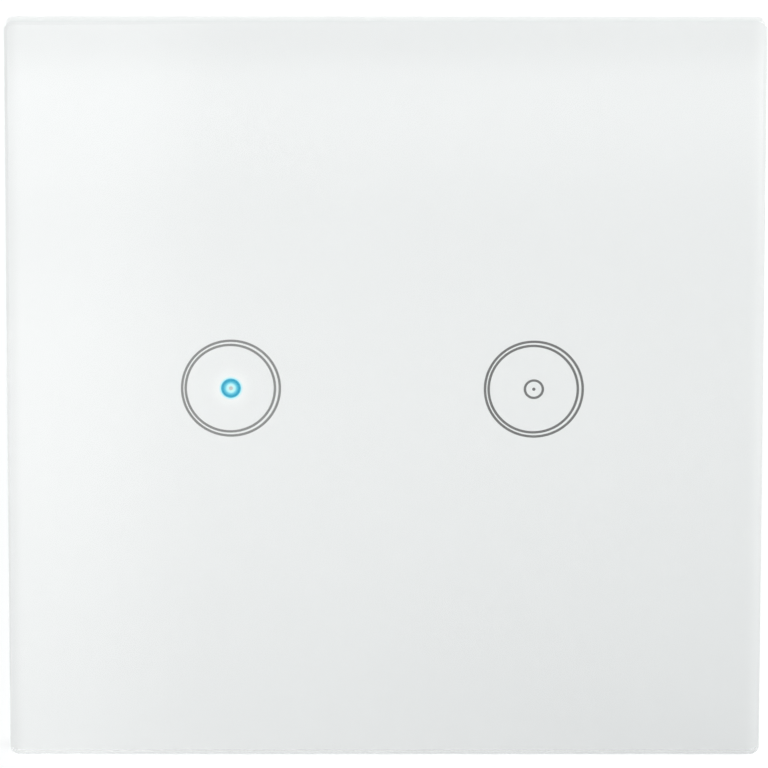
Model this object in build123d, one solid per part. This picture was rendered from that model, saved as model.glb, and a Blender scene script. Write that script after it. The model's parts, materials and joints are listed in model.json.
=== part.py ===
from build123d import *

import math
import os

# Double touch light switch with a glass face, for a round 60 mm wall box.
# X runs to the right of the face, Y into the wall, Z up. The origin is the centre of the
# fixing slots on the wall surface, which is the back of the steel mounting plate.
# All sizes are millimetres. The front cover lies at negative Y, the housing at positive Y.

# Glass face
FACE = 86.0
PROUD = 11.0
GLASS = 3.0
GLASS_CORNER = 1.0
GLASS_BEVEL = 0.5
TAPE = 0.3
TAPE_MARGIN = 2.2

# Moulded front frame
GLASS_OVERHANG = 1.6
FRAME_WALL = 1.8
FRAME_FRONT = 1.4
FRAME_CORNER = 2.6
WALL_GAP = 0.3
RIB = 1.0
RIB_HEIGHT = 1.3
RIM_CHAMFER = 0.6
SPRING_RIM = 0.65
SPOKE_PITCH = 21.5
PILOT_SKIN = 0.5
PRY_NOTCH_WIDTH = 10.0
PRY_NOTCH_DEPTH = 1.3

# Snap hooks of the frame, and the windows of the steel flanges that they grip
HOOK_ROOM = 3.2
HOOK_X = 20.0
HOOK_WIDTH = 7.0
HOOK_THICK = 1.5
HOOK_BITE = 0.8
HOOK_NOSE = 1.1
HOOK_TIP = 0.6
HOOK_ROOT = 0.3
HOOK_LEAD = 0.4
NOSE_DRAFT = 0.2
NOSE_FLAT = 0.2
NOSE_INSET = 0.5
HOOK_PLAY = 0.2

# Steel mounting plate
PLATE = 1.0
PLATE_CORNER = 5.0
BEND_INSIDE = 0.4
FLANGE_HEIGHT = 3.6
FLANGE_CORNER = 1.0
WINDOW_LIFT = 0.6
WINDOW_TALL = 1.6
FIXING_SPACING = 60.0
SLOT_WIDTH = 4.2
SLOT_LENGTH = 6.4
PLATE_WINDOW_X = 28.0
PLATE_WINDOW_Z = 37.0
PLATE_WINDOW_CORNER = 3.0
PANEL_STEP = 0.3
PANEL_MARGIN = 0.8
PANEL_SLOPE = 0.25

# Touch marks and what lies behind each one
TOUCH_SPACING = 34.5
SPRING_RADIUS = 5.0
SPRING_WIRE = 0.6
SPRING_TURNS = 2.25
WIRE_SIDES = 6
SPRING_HOLE = 6.6
COLLAR_RADIUS = 2.9
COLLAR_WALL = 0.9
COLLAR_HEIGHT = 2.8
GUIDE_TIP_RADIUS = 1.3
GUIDE_FLANGE_RADIUS = 2.6
GUIDE_FLANGE = 0.5
LED_X = 2.0
LED_Z = 1.3
LED_HEIGHT = 0.8
LED_CARRIER = 0.36
LED_DOME = 1.3
LED_EDGE = 0.15

# Control board in the cover
BOARD_STANDOFF = 2.1
CONTROL_BOARD = 1.2
CONTROL_X = 52.0
CONTROL_Z = 50.0
BOARD_CORNER = 2.0
BOARD_SCREW_INSET = 3.5
BOARD_SCREW_RADIUS = 1.0
BOARD_SCREW_HEAD_RADIUS = 1.9
BOARD_SCREW_HEAD = 1.0
BOARD_SCREW_REACH = 2.6
POST_WALL = 1.3
WIRELESS_X = 15.0
WIRELESS_Z = 18.0
WIRELESS_BOARD = 0.8
WIRELESS_CENTRE_Z = 12.0
SHIELD_X = 12.2
SHIELD_Z = 11.4
SHIELD_HEIGHT = 2.1
SHIELD_CORNER = 0.8
SHIELD_EDGE = 0.25
WIRELESS_WINDOW_CORNER = 1.0
EDGE_CONTACTS = 7
EDGE_CONTACT = 0.8
EDGE_CONTACT_PITCH = 1.8
EDGE_CONTACT_LOW = 1.6

# Moulded chips with legs: width, length and height of each, and where it stands
CHIP_LIFT = 0.12
CHIP_EDGE = 0.15
LEG_WIDTH = 0.4
LEG_THICK = 0.2
LEG_REACH = 0.9
LEG_KNEE = 0.3
LEG_RISE = 0.8
TOUCH_CHIP = (4.9, 3.9, 1.5)
TOUCH_CHIP_PLACE = (0.0, -6.0)
REGULATOR = (6.4, 3.5, 1.6)
REGULATOR_PLACE = (-14.0, -15.0)
LAMP_DRIVER = (2.9, 1.6, 1.1)
LAMP_DRIVER_PLACE = (13.0, -15.0)
RECTIFIER = (4.7, 3.2, 2.4)
SWITCHER = (4.9, 3.2, 1.5)
POWER_CHIP_OUT = 3.2

# Plug-in connector between the two boards
PIN_COUNT = 6
PIN_PITCH = 2.54
PIN_SIDE = 0.64
HEADER_DEPTH = 2.5
HEADER_HEIGHT = 2.5
HEADER_GAP = 0.5
PIN_GRIP = 4.2
PIN_TAIL = 1.0
PIN_POINT = 0.2
HEADER_NOTCH = 0.6
SOCKET_HEIGHT = 5.7
SOCKET_SET_BACK = 0.4
SOCKET_LID = 0.6
LEAF = 0.15
LEAF_DROP = 1.0
FORK_BASE = 0.3
FORK_TAIL = 0.5

# Rear housing, which fits a round wall box
HOUSING_CORNER = 10.0
HOUSING_WALL = 1.6
HOUSING_CHAMFER = 0.8
STEP_GAP = 0.65
SIDE_ROOM = 0.25
UPPER_ROOM = 0.4
BOSS_RADIUS = 2.6
BOSS_BITE = 0.2
PILOT_DEPTH = 9.0
PLATE_SCREW_RADIUS = 1.1
PLATE_SCREW_HEAD_RADIUS = 2.3
PLATE_SCREW_HEAD = 1.4
PLATE_SCREW_REACH = 7.0
COVER_PLATE = 1.8
BOARD_REST = 1.2
BOARD_REST_Z = 6.0
BOARD_POST = 2.0
VENT_COUNT = 6
VENT_WIDTH = 1.4
VENT_PITCH = 3.4
VENT_LENGTH = 8.0

# Power board
POWER_BOARD = 1.6
LEAD = 0.5
LEAD_OUT = 0.9
HEADROOM = 0.5
PART_LIFT = 0.1
LEAD_SINK = 0.4

# Relays: pull-in turns the armature about the yoke's outer top edge
RELAY_WIDTH = 10.0
RELAY_LENGTH = 19.0
RELAY_HEIGHT = 15.6
RELAY_GAP = 0.6
RELAY_ROOM = 0.6
RELAY_CASE = 0.6
RELAY_BASE = 1.7
RELAY_STAND = 0.3
CASE_LIFT = 0.1
CASE_CHAMFER = 0.4
BARRIER_DROP = 1.6
OPEN_TILT = 5.0
YOKE = 1.1
YOKE_TOP = 11.2
YOKE_HALF_WIDTH = 3.1
YOKE_GAP = 0.6
ARMATURE = 1.0
ARMATURE_LENGTH = 10.6
ARMATURE_INSET = 0.2
ARMATURE_CORNER = 1.2
HEEL_BACK = 0.15
BLADE = 0.25
BLADE_WIDTH = 3.0
BLADE_START = 3.2
BLADE_REACH = 15.8
BLADE_CORNER = 1.1
STAKE_SIDE = 1.2
STAKE_OFFSETS = (1.8, 5.0)
STAKE_HEIGHT = 0.3
CONTACT_RADIUS = 1.3
MOVING_CONTACT = 0.9
FIXED_CONTACT = 0.6
CONTACT_ARM = 14.6
STRIP = 0.5
STRIP_WIDTH = 3.0
STRIP_LIFT = 0.2
STRIP_GAP = 0.4
STRIP_BEND = 0.45
TAB_MARGIN = 0.2
CORE_RADIUS = 1.5
POLE_RADIUS = 2.4
POLE = 0.7
COIL_ARM = 5.7
BOBBIN_SIDE = 7.6
BOBBIN_FLANGE = 0.7
BOBBIN_TUBE_RADIUS = 2.1
WINDING_RADIUS = 3.4
COIL_PIN_X = 3.8
CONTACT_PIN = 0.8
RETURN_WIDTH = 4.0
RETURN_FOOT = 2.0
RETURN_REACH = 2.8

# Screw terminals with rising clamps
POLES = 4
POLE_PITCH = 7.62
BLOCK_END = 4.17
BLOCK_DEPTH = 10.6
BLOCK_FLOOR = 0.5
BLOCK_LIP = 0.8
BLOCK_FRONT_WALL = 1.2
BLOCK_GROOVE = 0.6
BLOCK_GROOVE_DEPTH = 1.2
CLAMP_WALL = 0.6
CLAMP_TOP = 1.0
CLAMP_INSIDE_X = 4.8
CLAMP_DEPTH = 5.6
CLAMP_TRAVEL = 3.8
CLAMP_BEND = 0.3
WIRE_ROOM = 4.8
BAR = 0.8
BAR_WIDTH = 3.8
BAR_PIN = 1.0
BAR_BEND = 0.72
SCREW_RADIUS = 1.45
SCREW_HEAD_RADIUS = 1.9
SCREW_HEAD = 1.4
SCREW_SLOT = 0.6
SCREW_SLOT_DEPTH = 0.7
DRIVER_HOLE_RADIUS = 1.6
HOUSING_DRIVER_RADIUS = 2.3

# Mains supply on the power board
CORE_SIDE = 12.6
CORE_THICK = 5.0
CORE_LEG = 2.4
CORE_CENTRE_LEG = 3.4
CORE_LIFT = 2.9
CORE_CHAMFER = 0.4
RAIL_PINS = 4
COIL_WALL = 1.9
FORMER_WALL = 0.5
FORMER_FLANGE = 0.6
LINK_HEIGHT = 1.0
WINDING_SINK = 0.3
WINDING_ROUND = 0.6
RAIL_DEPTH = 2.2
BULK_RADIUS = 4.0
BULK_HEIGHT = 12.5
BULK_LEAD_OUT = 1.8
CAN_SHOULDER = 0.5
CRIMP_LOW = 1.2
CRIMP_TALL = 0.7
CRIMP_DEPTH = 0.35
LINE_CAP_X = 12.6
LINE_CAP_Z = 5.0
LINE_CAP_HEIGHT = 11.0
LINE_CAP_EDGE = 0.5
LINE_CAP_FOOT = 2.0
LINE_CAP_FOOT_HEIGHT = 0.5
LINE_LEAD_INSET = 1.3
FUSE_RADIUS = 3.2
FUSE_FOOT = 0.3
FUSE_FOOT_HEIGHT = 1.0
FUSE_HEIGHT = 7.0
FUSE_EDGE = 0.4
FUSE_LEAD_OUT = 1.9
VARISTOR_RADIUS = 3.4
VARISTOR_THICK = 3.4
VARISTOR_EDGE = 0.68
VARISTOR_LIFT = 1.0
VARISTOR_LEAD_OUT = 2.4
INDUCTOR_RADIUS = 2.5
INDUCTOR_HEIGHT = 6.5
INDUCTOR_WAIST = 0.35
INDUCTOR_FLANGE = 0.9
INDUCTOR_LEAD_OUT = 1.75
PART_GAP = 0.8

# Clearances
SNUG = 0.05
LOOSE = 0.15
ROOMY = 0.3

# How far a form runs into the one it joins, and how far a cutter runs past the face that it cuts
WELD = 0.1
CUT = 1.0

# Depth stations, counted along Y
glass_front = -PROUD
glass_back = glass_front + GLASS
frame_front = glass_back + TAPE
frame_inside = frame_front + FRAME_FRONT
control_front = frame_inside + BOARD_STANDOFF
control_back = control_front + CONTROL_BOARD
plate_front = -PLATE
panel_back = -PANEL_STEP
panel_front = panel_back - PLATE
cover_back = panel_back + COVER_PLATE
flange_tip = plate_front - FLANGE_HEIGHT
socket_front = SOCKET_SET_BACK
power_front = socket_front + SOCKET_HEIGHT
power_back = power_front + POWER_BOARD

# Widths that follow from the driving sizes
frame_side = FACE - 2 * GLASS_OVERHANG
frame_inner_side = frame_side - 2 * FRAME_WALL
plate_side = frame_inner_side - 2 * HOOK_ROOM
bend_outside = BEND_INSIDE + PLATE
flat_side = plate_side - 2 * bend_outside
flange_length = flat_side - 2 * PLATE_CORNER
rib_line = plate_side / 2 - 3 * RIB
touch_places = (-TOUCH_SPACING / 2, TOUCH_SPACING / 2)
pin_places = [(i - (PIN_COUNT - 1) / 2) * PIN_PITCH for i in range(PIN_COUNT)]
connector_length = PIN_COUNT * PIN_PITCH

# Housing: as wide as the relays and the supply beside them, as tall as the terminal block, the
# relays and the strip of upright parts above them
relay_row = 2 * RELAY_WIDTH + RELAY_GAP
supply_row = CORE_SIDE + LOOSE + 2 * BULK_RADIUS
housing_inside_x = BOARD_REST + (PART_GAP / 2 + relay_row + 3 * PART_GAP + supply_row + SIDE_ROOM) / 2
upper_half = max(FUSE_RADIUS + FUSE_FOOT, VARISTOR_RADIUS, LINE_CAP_Z / 2, INDUCTOR_RADIUS)
upper_strip = 2 * upper_half + UPPER_ROOM
terminal_strip = LOOSE + BLOCK_DEPTH + STEP_GAP + HOUSING_WALL
housing_inside_z = (terminal_strip + RELAY_ROOM + RELAY_LENGTH + PART_GAP + upper_strip) / 2
housing_x = 2 * (housing_inside_x + HOUSING_WALL)
housing_z = 2 * (housing_inside_z + HOUSING_WALL)
boss_reach = (HOUSING_CORNER - HOUSING_WALL - BOSS_RADIUS + BOSS_BITE) / math.sqrt(2)
boss_x = housing_x / 2 - HOUSING_CORNER + boss_reach
boss_z = housing_z / 2 - HOUSING_CORNER + boss_reach
boss_places = [(sx * boss_x, sz * boss_z) for sx in (-1, 1) for sz in (-1, 1)]
deep_low_z = -housing_inside_z + terminal_strip
step_z = deep_low_z - HOUSING_WALL

# Terminal block, from the power board outwards
pole_places = [(i - (POLES - 1) / 2) * POLE_PITCH for i in range(POLES)]
block_half_x = (POLES - 1) * POLE_PITCH / 2 + BLOCK_END
block_low_z = -housing_inside_z + LOOSE
block_high_z = block_low_z + BLOCK_DEPTH
chamber_low_z = block_low_z + BLOCK_FRONT_WALL
pole_z = chamber_low_z + LOOSE + CLAMP_DEPTH / 2
chamber_high_z = pole_z + CLAMP_DEPTH / 2 + LOOSE
bar_leg_z = chamber_high_z + BAR
header_z = bar_leg_z - BAR / 2 - HEADER_GAP - HEADER_DEPTH / 2
chamber_half_x = CLAMP_INSIDE_X / 2 + CLAMP_WALL + LOOSE
clamp_low = power_back + BLOCK_FLOOR + SNUG
clamp_floor = clamp_low + CLAMP_WALL
bar_low = clamp_floor + WIRE_ROOM
bar_high = bar_low + BAR
clamp_roof = bar_high + 2 * SNUG
clamp_high = clamp_roof + CLAMP_TOP
head_low = clamp_high + CLAMP_TRAVEL + SNUG
head_high = head_low + SCREW_HEAD
block_lip = head_high + 2 * SNUG
block_top = block_lip + BLOCK_LIP

# Housing depths
shallow_inside = block_top + ROOMY
shallow_back = shallow_inside + HOUSING_WALL
deep_inside = max(power_back + RELAY_HEIGHT + HEADROOM, shallow_inside)
deep_back = deep_inside + HOUSING_WALL

# Relay stations, from the middle of the relay's base
relay_left = -housing_inside_x + BOARD_REST + PART_GAP / 2
relay_places = [relay_left + RELAY_WIDTH / 2 + i * (RELAY_WIDTH + RELAY_GAP) for i in (0, 1)]
relay_half_z = RELAY_LENGTH / 2
relay_centre_z = deep_low_z + RELAY_ROOM + relay_half_z
pivot_z = -relay_half_z + RELAY_CASE + YOKE_GAP
coil_z = pivot_z + COIL_ARM
coil_pin_z = coil_z - BOBBIN_SIDE / 4
base_top = RELAY_STAND + RELAY_BASE
bobbin_low = base_top + YOKE
pole_low = YOKE_TOP - SNUG - POLE
bobbin_high = pole_low - SNUG
fixed_top = YOKE_TOP + ARMATURE - MOVING_CONTACT - SNUG
fixed_z = pivot_z + CONTACT_ARM
strip_z = relay_half_z - RELAY_CASE - STRIP_GAP - STRIP
relay_pin_spots = [(-COIL_PIN_X, coil_pin_z), (COIL_PIN_X, coil_pin_z), (0.0, strip_z + STRIP / 2)]

# Supply stations on the right of the relays and in the strip above them
supply_left = relay_places[1] + RELAY_WIDTH / 2 + 3 * PART_GAP
core_x = supply_left + CORE_SIDE / 2
core_z = deep_low_z + PART_GAP + CORE_SIDE / 2
bulk_x = supply_left + CORE_SIDE + LOOSE + BULK_RADIUS
bulk_low_z = deep_low_z + PART_GAP + BULK_RADIUS
bulk_places = [(bulk_x, bulk_low_z + i * (2 * BULK_RADIUS + PART_GAP)) for i in (0, 1)]
upper_low_z = relay_centre_z + relay_half_z + PART_GAP
upper_z = (upper_low_z + housing_inside_z - ROOMY) / 2
fuse_x = -boss_x + BOSS_RADIUS + PART_GAP + FUSE_RADIUS
varistor_x = fuse_x + FUSE_RADIUS + PART_GAP + VARISTOR_THICK / 2
inductor_x = varistor_x + VARISTOR_THICK / 2 + PART_GAP + INDUCTOR_RADIUS
line_cap_x = inductor_x + INDUCTOR_RADIUS + PART_GAP + LINE_CAP_X / 2
chip_z = (core_z + CORE_SIDE / 2 + upper_z - LINE_CAP_Z / 2) / 2


def across(outline, y_low, y_high):
    """Solid of an X-Z outline between two depths."""
    plane = Plane(origin=(0, y_high, 0), x_dir=(1, 0, 0), z_dir=(0, -1, 0))
    return extrude(plane * outline, amount=y_high - y_low)


def rod(x, z, radius, y_low, y_high):
    """Round bar along Y."""
    return across(Pos(x, z) * Circle(radius), y_low, y_high)


def square_pin(x, z, side, y_low, y_high):
    """Square bar along Y."""
    return across(Pos(x, z) * Rectangle(side, side), y_low, y_high)


def brick(x, y, z):
    """Box between two values on each axis."""
    middle = Pos(sum(x) / 2, sum(y) / 2, sum(z) / 2)
    return middle * Box(abs(x[1] - x[0]), abs(y[1] - y[0]), abs(z[1] - z[0]))


def around(middle, half):
    """Low and high value of a span about its middle."""
    return middle - half, middle + half


def rounded(width, height, radius, x=0.0, z=0.0):
    """Rounded X-Z rectangle about a centre."""
    return Pos(x, z) * RectangleRounded(width, height, radius)


def square_hole(x, z, side):
    """Hole for a lead or pin, drawn square to keep the facets few."""
    return Pos(x, z) * Rectangle(side + 2 * LOOSE, side + 2 * LOOSE)


def gather(pieces):
    """One node that holds several separate solids."""
    return Compound(children=[solid for piece in pieces for solid in piece.solids()])


def pan_screw(x, z, radius, head_radius, head, seat, reach):
    """Round-headed screw that points to -Y, its thread and drive left out."""
    return rod(x, z, head_radius, seat, seat + head) + rod(x, z, radius - SNUG, seat - reach, seat)


def glass_panel():
    """Toughened glass square with a polished bevel round its face."""
    glass = across(rounded(FACE, FACE, GLASS_CORNER), glass_front, glass_back)
    glass = chamfer(glass.edges().group_by(Axis.Y)[0], GLASS_BEVEL)
    return chamfer(glass.edges().group_by(Axis.Y)[-1], GLASS_BEVEL / 2)


def wireless_window(grow=0.0):
    """Opening in front of the radio module, which stands higher than the frame allows."""
    side_x = WIRELESS_X + 2 * ROOMY + grow
    side_z = WIRELESS_Z + 2 * ROOMY + grow
    return rounded(side_x, side_z, WIRELESS_WINDOW_CORNER, 0, WIRELESS_CENTRE_Z)


def adhesive_sheet():
    """Die-cut double-sided sheet that bonds the glass to the frame."""
    side = frame_side - 2 * TAPE_MARGIN
    outline = rounded(side, side, FRAME_CORNER) - wireless_window(RIB)
    for x in touch_places:
        outline -= Pos(x, 0) * Circle(SPRING_HOLE + RIB / 2)
    return across(outline, glass_back, frame_front)


def snap_hook():
    """Cantilever hook of the top edge; its nose enters a window of the steel flange."""
    flange = plate_side / 2
    inner = flange + HOOK_PLAY
    tip = plate_front - WINDOW_LIFT + HOOK_TIP
    tongue = brick(around(0, HOOK_WIDTH / 2), (frame_inside - HOOK_ROOT, tip), (inner, inner + HOOK_THICK))
    tongue = chamfer(tongue.edges().group_by(Axis.Y)[-1].group_by(Axis.Z)[0], HOOK_LEAD)
    nose_high = plate_front - WINDOW_LIFT - HOOK_PLAY
    nose_low = nose_high - HOOK_NOSE
    outline = [
        (nose_low, inner + WELD),
        (nose_low, inner),
        (nose_low + NOSE_DRAFT, flange - HOOK_BITE),
        (nose_low + NOSE_DRAFT + NOSE_FLAT, flange - HOOK_BITE),
        (nose_high, inner),
        (nose_high, inner + WELD),
    ]
    nose = Plane.YZ * make_face(Polyline(*outline, close=True))
    return tongue + extrude(nose, amount=HOOK_WIDTH / 2 - NOSE_INSET, both=True)


def board_screw_places():
    """The four screws that hold the control board to the frame."""
    x = CONTROL_X / 2 - BOARD_SCREW_INSET
    z = CONTROL_Z / 2 - BOARD_SCREW_INSET
    return [(sx * x, sz * z) for sx in (-1, 1) for sz in (-1, 1)]


def frame_ribs():
    """Stiffening ribs on the inside of the frame's front: a square and its spokes."""
    depth = (frame_inside - WELD, frame_inside + RIB_HEIGHT)
    outer = 2 * rib_line + RIB
    inner = 2 * rib_line - RIB
    ribs = across(Rectangle(outer, outer) - Rectangle(inner, inner), *depth)
    for place in (-SPOKE_PITCH, 0, SPOKE_PITCH):
        for sign in (-1, 1):
            span = (sign * rib_line, sign * (frame_inner_side / 2 + WELD))
            ribs += brick(span, depth, around(place, RIB / 2))
            if place == 0:
                ribs += brick(around(place, RIB / 2), depth, span)
    for x in touch_places:
        ribs += rod(x, 0, SPRING_HOLE + RIB, depth[0], frame_inside + SPRING_RIM)
    for x, z in board_screw_places():
        ribs += rod(x, z, BOARD_SCREW_RADIUS + POST_WALL, depth[0], control_front)
    return ribs


def front_frame():
    """Moulded tray behind the glass: rim, ribs, hooks, screw posts and windows."""
    body = across(rounded(frame_side, frame_side, FRAME_CORNER), frame_front, -WALL_GAP)
    body = chamfer(body.edges().group_by(Axis.Y)[-1], RIM_CHAMFER)
    body -= across(rounded(frame_inner_side, frame_inner_side, FRAME_CORNER - FRAME_WALL), frame_inside, 0)
    body += frame_ribs()
    for x in (-HOOK_X, HOOK_X):
        hook = Pos(x, 0, 0) * snap_hook()
        body += hook
        body += mirror(hook, Plane.XY)
    for x in touch_places:
        body -= rod(x, 0, SPRING_HOLE, frame_front - CUT, control_front)
    body -= across(wireless_window(), frame_front - CUT, control_front)
    for x, z in board_screw_places():
        body -= rod(x, z, BOARD_SCREW_RADIUS, frame_front + PILOT_SKIN, control_front + CUT)
    notch_z = (-frame_side / 2 - CUT, -frame_inner_side / 2 + CUT)
    return body - brick(around(0, PRY_NOTCH_WIDTH / 2), (-WALL_GAP - PRY_NOTCH_DEPTH, CUT), notch_z)


def control_board():
    """Printed board in the cover, with its screw and pin holes."""
    outline = rounded(CONTROL_X, CONTROL_Z, BOARD_CORNER)
    for x, z in board_screw_places():
        outline -= Pos(x, z) * Circle(BOARD_SCREW_RADIUS + LOOSE)
    for x in pin_places:
        outline -= square_hole(x, header_z, PIN_SIDE)
    return across(outline, control_front, control_back)


def board_screws():
    """The control board's screws, driven from behind."""
    sizes = (BOARD_SCREW_RADIUS, BOARD_SCREW_HEAD_RADIUS, BOARD_SCREW_HEAD)
    reach = CONTROL_BOARD + BOARD_SCREW_REACH
    return gather(pan_screw(x, z, *sizes, control_back, reach) for x, z in board_screw_places())


def touch_spring(x):
    """Coil electrode pressed between the control board and the glass, its wire drawn six-sided."""
    wire = SPRING_WIRE / 2
    start = control_front - wire - SNUG / 2
    height = start - (glass_back + wire + SNUG / 2)
    path = Helix(height / SPRING_TURNS, height, SPRING_RADIUS, center=(x, start, 0), direction=(0, -1, 0))
    section = Plane(origin=path @ 0, z_dir=path % 0) * RegularPolygon(wire, WIRE_SIDES)
    return sweep(section, path=path, is_frenet=True)


def led_collars():
    """Opaque tube round each indicator lamp, seated on the control board."""
    top = control_front - COLLAR_HEIGHT
    bore = COLLAR_RADIUS - COLLAR_WALL
    collars = []
    for x in touch_places:
        tube = rod(x, 0, COLLAR_RADIUS, top, control_front)
        collars.append(tube - rod(x, 0, bore, top - CUT, control_front + CUT))
    return gather(collars)


def light_guide(x):
    """Clear stepped rod that carries the lamp's light to the back of the glass."""
    collar_top = control_front - COLLAR_HEIGHT
    flange_low = collar_top - GUIDE_FLANGE
    shaft_radius = COLLAR_RADIUS - COLLAR_WALL - LOOSE
    shaft = rod(x, 0, shaft_radius, collar_top, control_front - LED_HEIGHT - ROOMY)
    flange = rod(x, 0, GUIDE_FLANGE_RADIUS, flange_low, collar_top)
    return shaft + flange + rod(x, 0, GUIDE_TIP_RADIUS, glass_back + SNUG, flange_low)


def indicator_leds():
    """One small surface lamp under each light guide."""
    lamps = []
    carrier_front = control_front - LED_CARRIER
    for x in touch_places:
        carrier = brick(around(x, LED_X / 2), (carrier_front, control_front), around(0, LED_Z / 2))
        top = (control_front - LED_HEIGHT, carrier_front)
        dome = brick(around(x, LED_DOME / 2), top, around(0, LED_Z / 2))
        lamps.append(carrier + chamfer(dome.edges().group_by(Axis.Y)[0], LED_EDGE))
    return gather(lamps)


def wireless_board():
    """Radio module's own board, with notched edge contacts."""
    outline = Pos(0, WIRELESS_CENTRE_Z) * Rectangle(WIRELESS_X, WIRELESS_Z)
    contact_low = WIRELESS_CENTRE_Z - WIRELESS_Z / 2 + EDGE_CONTACT_LOW
    notch = Rectangle(EDGE_CONTACT, EDGE_CONTACT)
    for i in range(EDGE_CONTACTS):
        for side in (-1, 1):
            outline -= Pos(side * WIRELESS_X / 2, contact_low + i * EDGE_CONTACT_PITCH) * notch
    return across(outline, control_front - WIRELESS_BOARD, control_front)


def wireless_shield():
    """Pressed tin can over the radio chips."""
    low_z = WIRELESS_CENTRE_Z - WIRELESS_Z / 2 + PART_GAP
    face = control_front - WIRELESS_BOARD
    can = brick(around(0, SHIELD_X / 2), (face - SHIELD_HEIGHT, face), (low_z, low_z + SHIELD_Z))
    can = chamfer(can.edges().filter_by(Axis.Y), SHIELD_CORNER)
    return chamfer(can.edges().group_by(Axis.Y)[0], SHIELD_EDGE)


def chip(place, size, legs, face, out):
    """Moulded package with bent legs on its long sides; out is the way it stands from its board."""
    x, z = place
    wide, long, height = size
    body = brick(around(x, wide / 2), (face + out * CHIP_LIFT, face + out * height), around(z, long / 2))
    body = chamfer(body.faces().sort_by(Axis.Y)[-1 if out > 0 else 0].edges(), CHIP_EDGE)
    profile = [
        (0, long / 2 - WELD),
        (0, long / 2 + LEG_REACH),
        (out * LEG_THICK, long / 2 + LEG_REACH),
        (out * LEG_THICK, long / 2 + LEG_KNEE),
        (out * LEG_RISE, long / 2 + LEG_KNEE),
        (out * LEG_RISE, long / 2 - WELD),
    ]
    leg = extrude(Plane.YZ * make_face(Polyline(*profile, close=True)), amount=LEG_WIDTH / 2, both=True)
    for i in range(legs):
        at = Pos(x + (i - (legs - 1) / 2) * wide / legs, face, z)
        body += at * leg
        body += at * mirror(leg, Plane.XY)
    return body


def control_chips():
    """Touch controller, regulator and lamp driver on the front of the control board."""
    return gather(
        [
            chip(TOUCH_CHIP_PLACE, TOUCH_CHIP, 4, control_front, -1),
            chip(REGULATOR_PLACE, REGULATOR, 3, control_front, -1),
            chip(LAMP_DRIVER_PLACE, LAMP_DRIVER, 3, control_front, -1),
        ]
    )


def header_body():
    """Moulded strip of the pin header, notched between its pins."""
    outline = Pos(0, header_z) * Rectangle(connector_length, HEADER_DEPTH)
    for i in range(PIN_COUNT + 1):
        at = (i - PIN_COUNT / 2) * PIN_PITCH
        for side in (-1, 1):
            edge = header_z + side * HEADER_DEPTH / 2
            outline -= Pos(at, edge) * Rotation(0, 0, 45) * Rectangle(HEADER_NOTCH, HEADER_NOTCH)
    for x in pin_places:
        outline -= Pos(x, header_z) * Rectangle(PIN_SIDE + SNUG, PIN_SIDE + SNUG)
    return across(outline, control_back, control_back + HEADER_HEIGHT)


def header_pins():
    """Square pins that plug into the socket of the power board."""
    pins = []
    for x in pin_places:
        square = Pos(x, header_z) * Rectangle(PIN_SIDE, PIN_SIDE)
        pin = across(square, control_front - PIN_TAIL, socket_front + PIN_GRIP)
        pins.append(chamfer(pin.edges().group_by(Axis.Y)[-1], PIN_POINT))
    return gather(pins)


def socket_body():
    """Moulded socket strip on the front of the power board."""
    outline = Pos(0, header_z) * Rectangle(connector_length, HEADER_DEPTH)
    body = across(outline, socket_front, power_front)
    mouth = PIN_SIDE + 2 * LOOSE
    cavity_x = PIN_SIDE + 2 * LEAF + 2 * LOOSE
    cavity_front = socket_front + SOCKET_LID
    for x in pin_places:
        body -= across(Pos(x, header_z) * Rectangle(cavity_x, mouth), cavity_front, power_front)
        body -= across(Pos(x, header_z) * Rectangle(mouth, mouth), socket_front - CUT, cavity_front + WELD)
    return body


def socket_contacts():
    """Forked leaf contacts, one for each pin, with a tail that ends flush in the power board."""
    contacts = []
    inner = PIN_SIDE / 2 + SNUG
    z = around(header_z, PIN_SIDE / 2)
    base = (power_front - SNUG - FORK_BASE, power_front - SNUG)
    tail_y = (base[1] - WELD, power_back - SNUG)
    for x in pin_places:
        fork = brick(around(x, inner + LEAF), base, z)
        for side in (-1, 1):
            leaf = (x + side * inner, x + side * (inner + LEAF))
            fork += brick(leaf, (socket_front + LEAF_DROP, base[0] + WELD), z)
        contacts.append(fork + brick(around(x, FORK_TAIL / 2), tail_y, around(header_z, FORK_TAIL / 2)))
    return gather(contacts)


def turned_edge():
    """Right-angle bend and flange of the plate's top edge."""
    bend_y = plate_front - BEND_INSIDE
    bend_z = flat_side / 2
    corner = Pos(bend_y + bend_outside / 2, bend_z + bend_outside / 2)
    quarter = corner * Rectangle(bend_outside, bend_outside)
    section = (Pos(bend_y, bend_z) * (Circle(bend_outside) - Circle(BEND_INSIDE))) & quarter
    flange_middle = Pos((bend_y + flange_tip) / 2, plate_side / 2 - PLATE / 2)
    section += flange_middle * Rectangle(bend_y - flange_tip, PLATE)
    edge = extrude(Plane.YZ * section, amount=flange_length / 2, both=True)
    return chamfer(edge.edges().group_by(Axis.Y)[0].filter_by(Axis.Z), FLANGE_CORNER)


def pressed_panel(grow, y_low, y_high):
    """Rounded block over the housing's outline, sloped at its front edge as a press leaves it."""
    panel = across(housing_outline(-PANEL_MARGIN - grow), y_low, y_high)
    return chamfer(panel.edges().group_by(Axis.Y)[0], PANEL_SLOPE)


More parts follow.
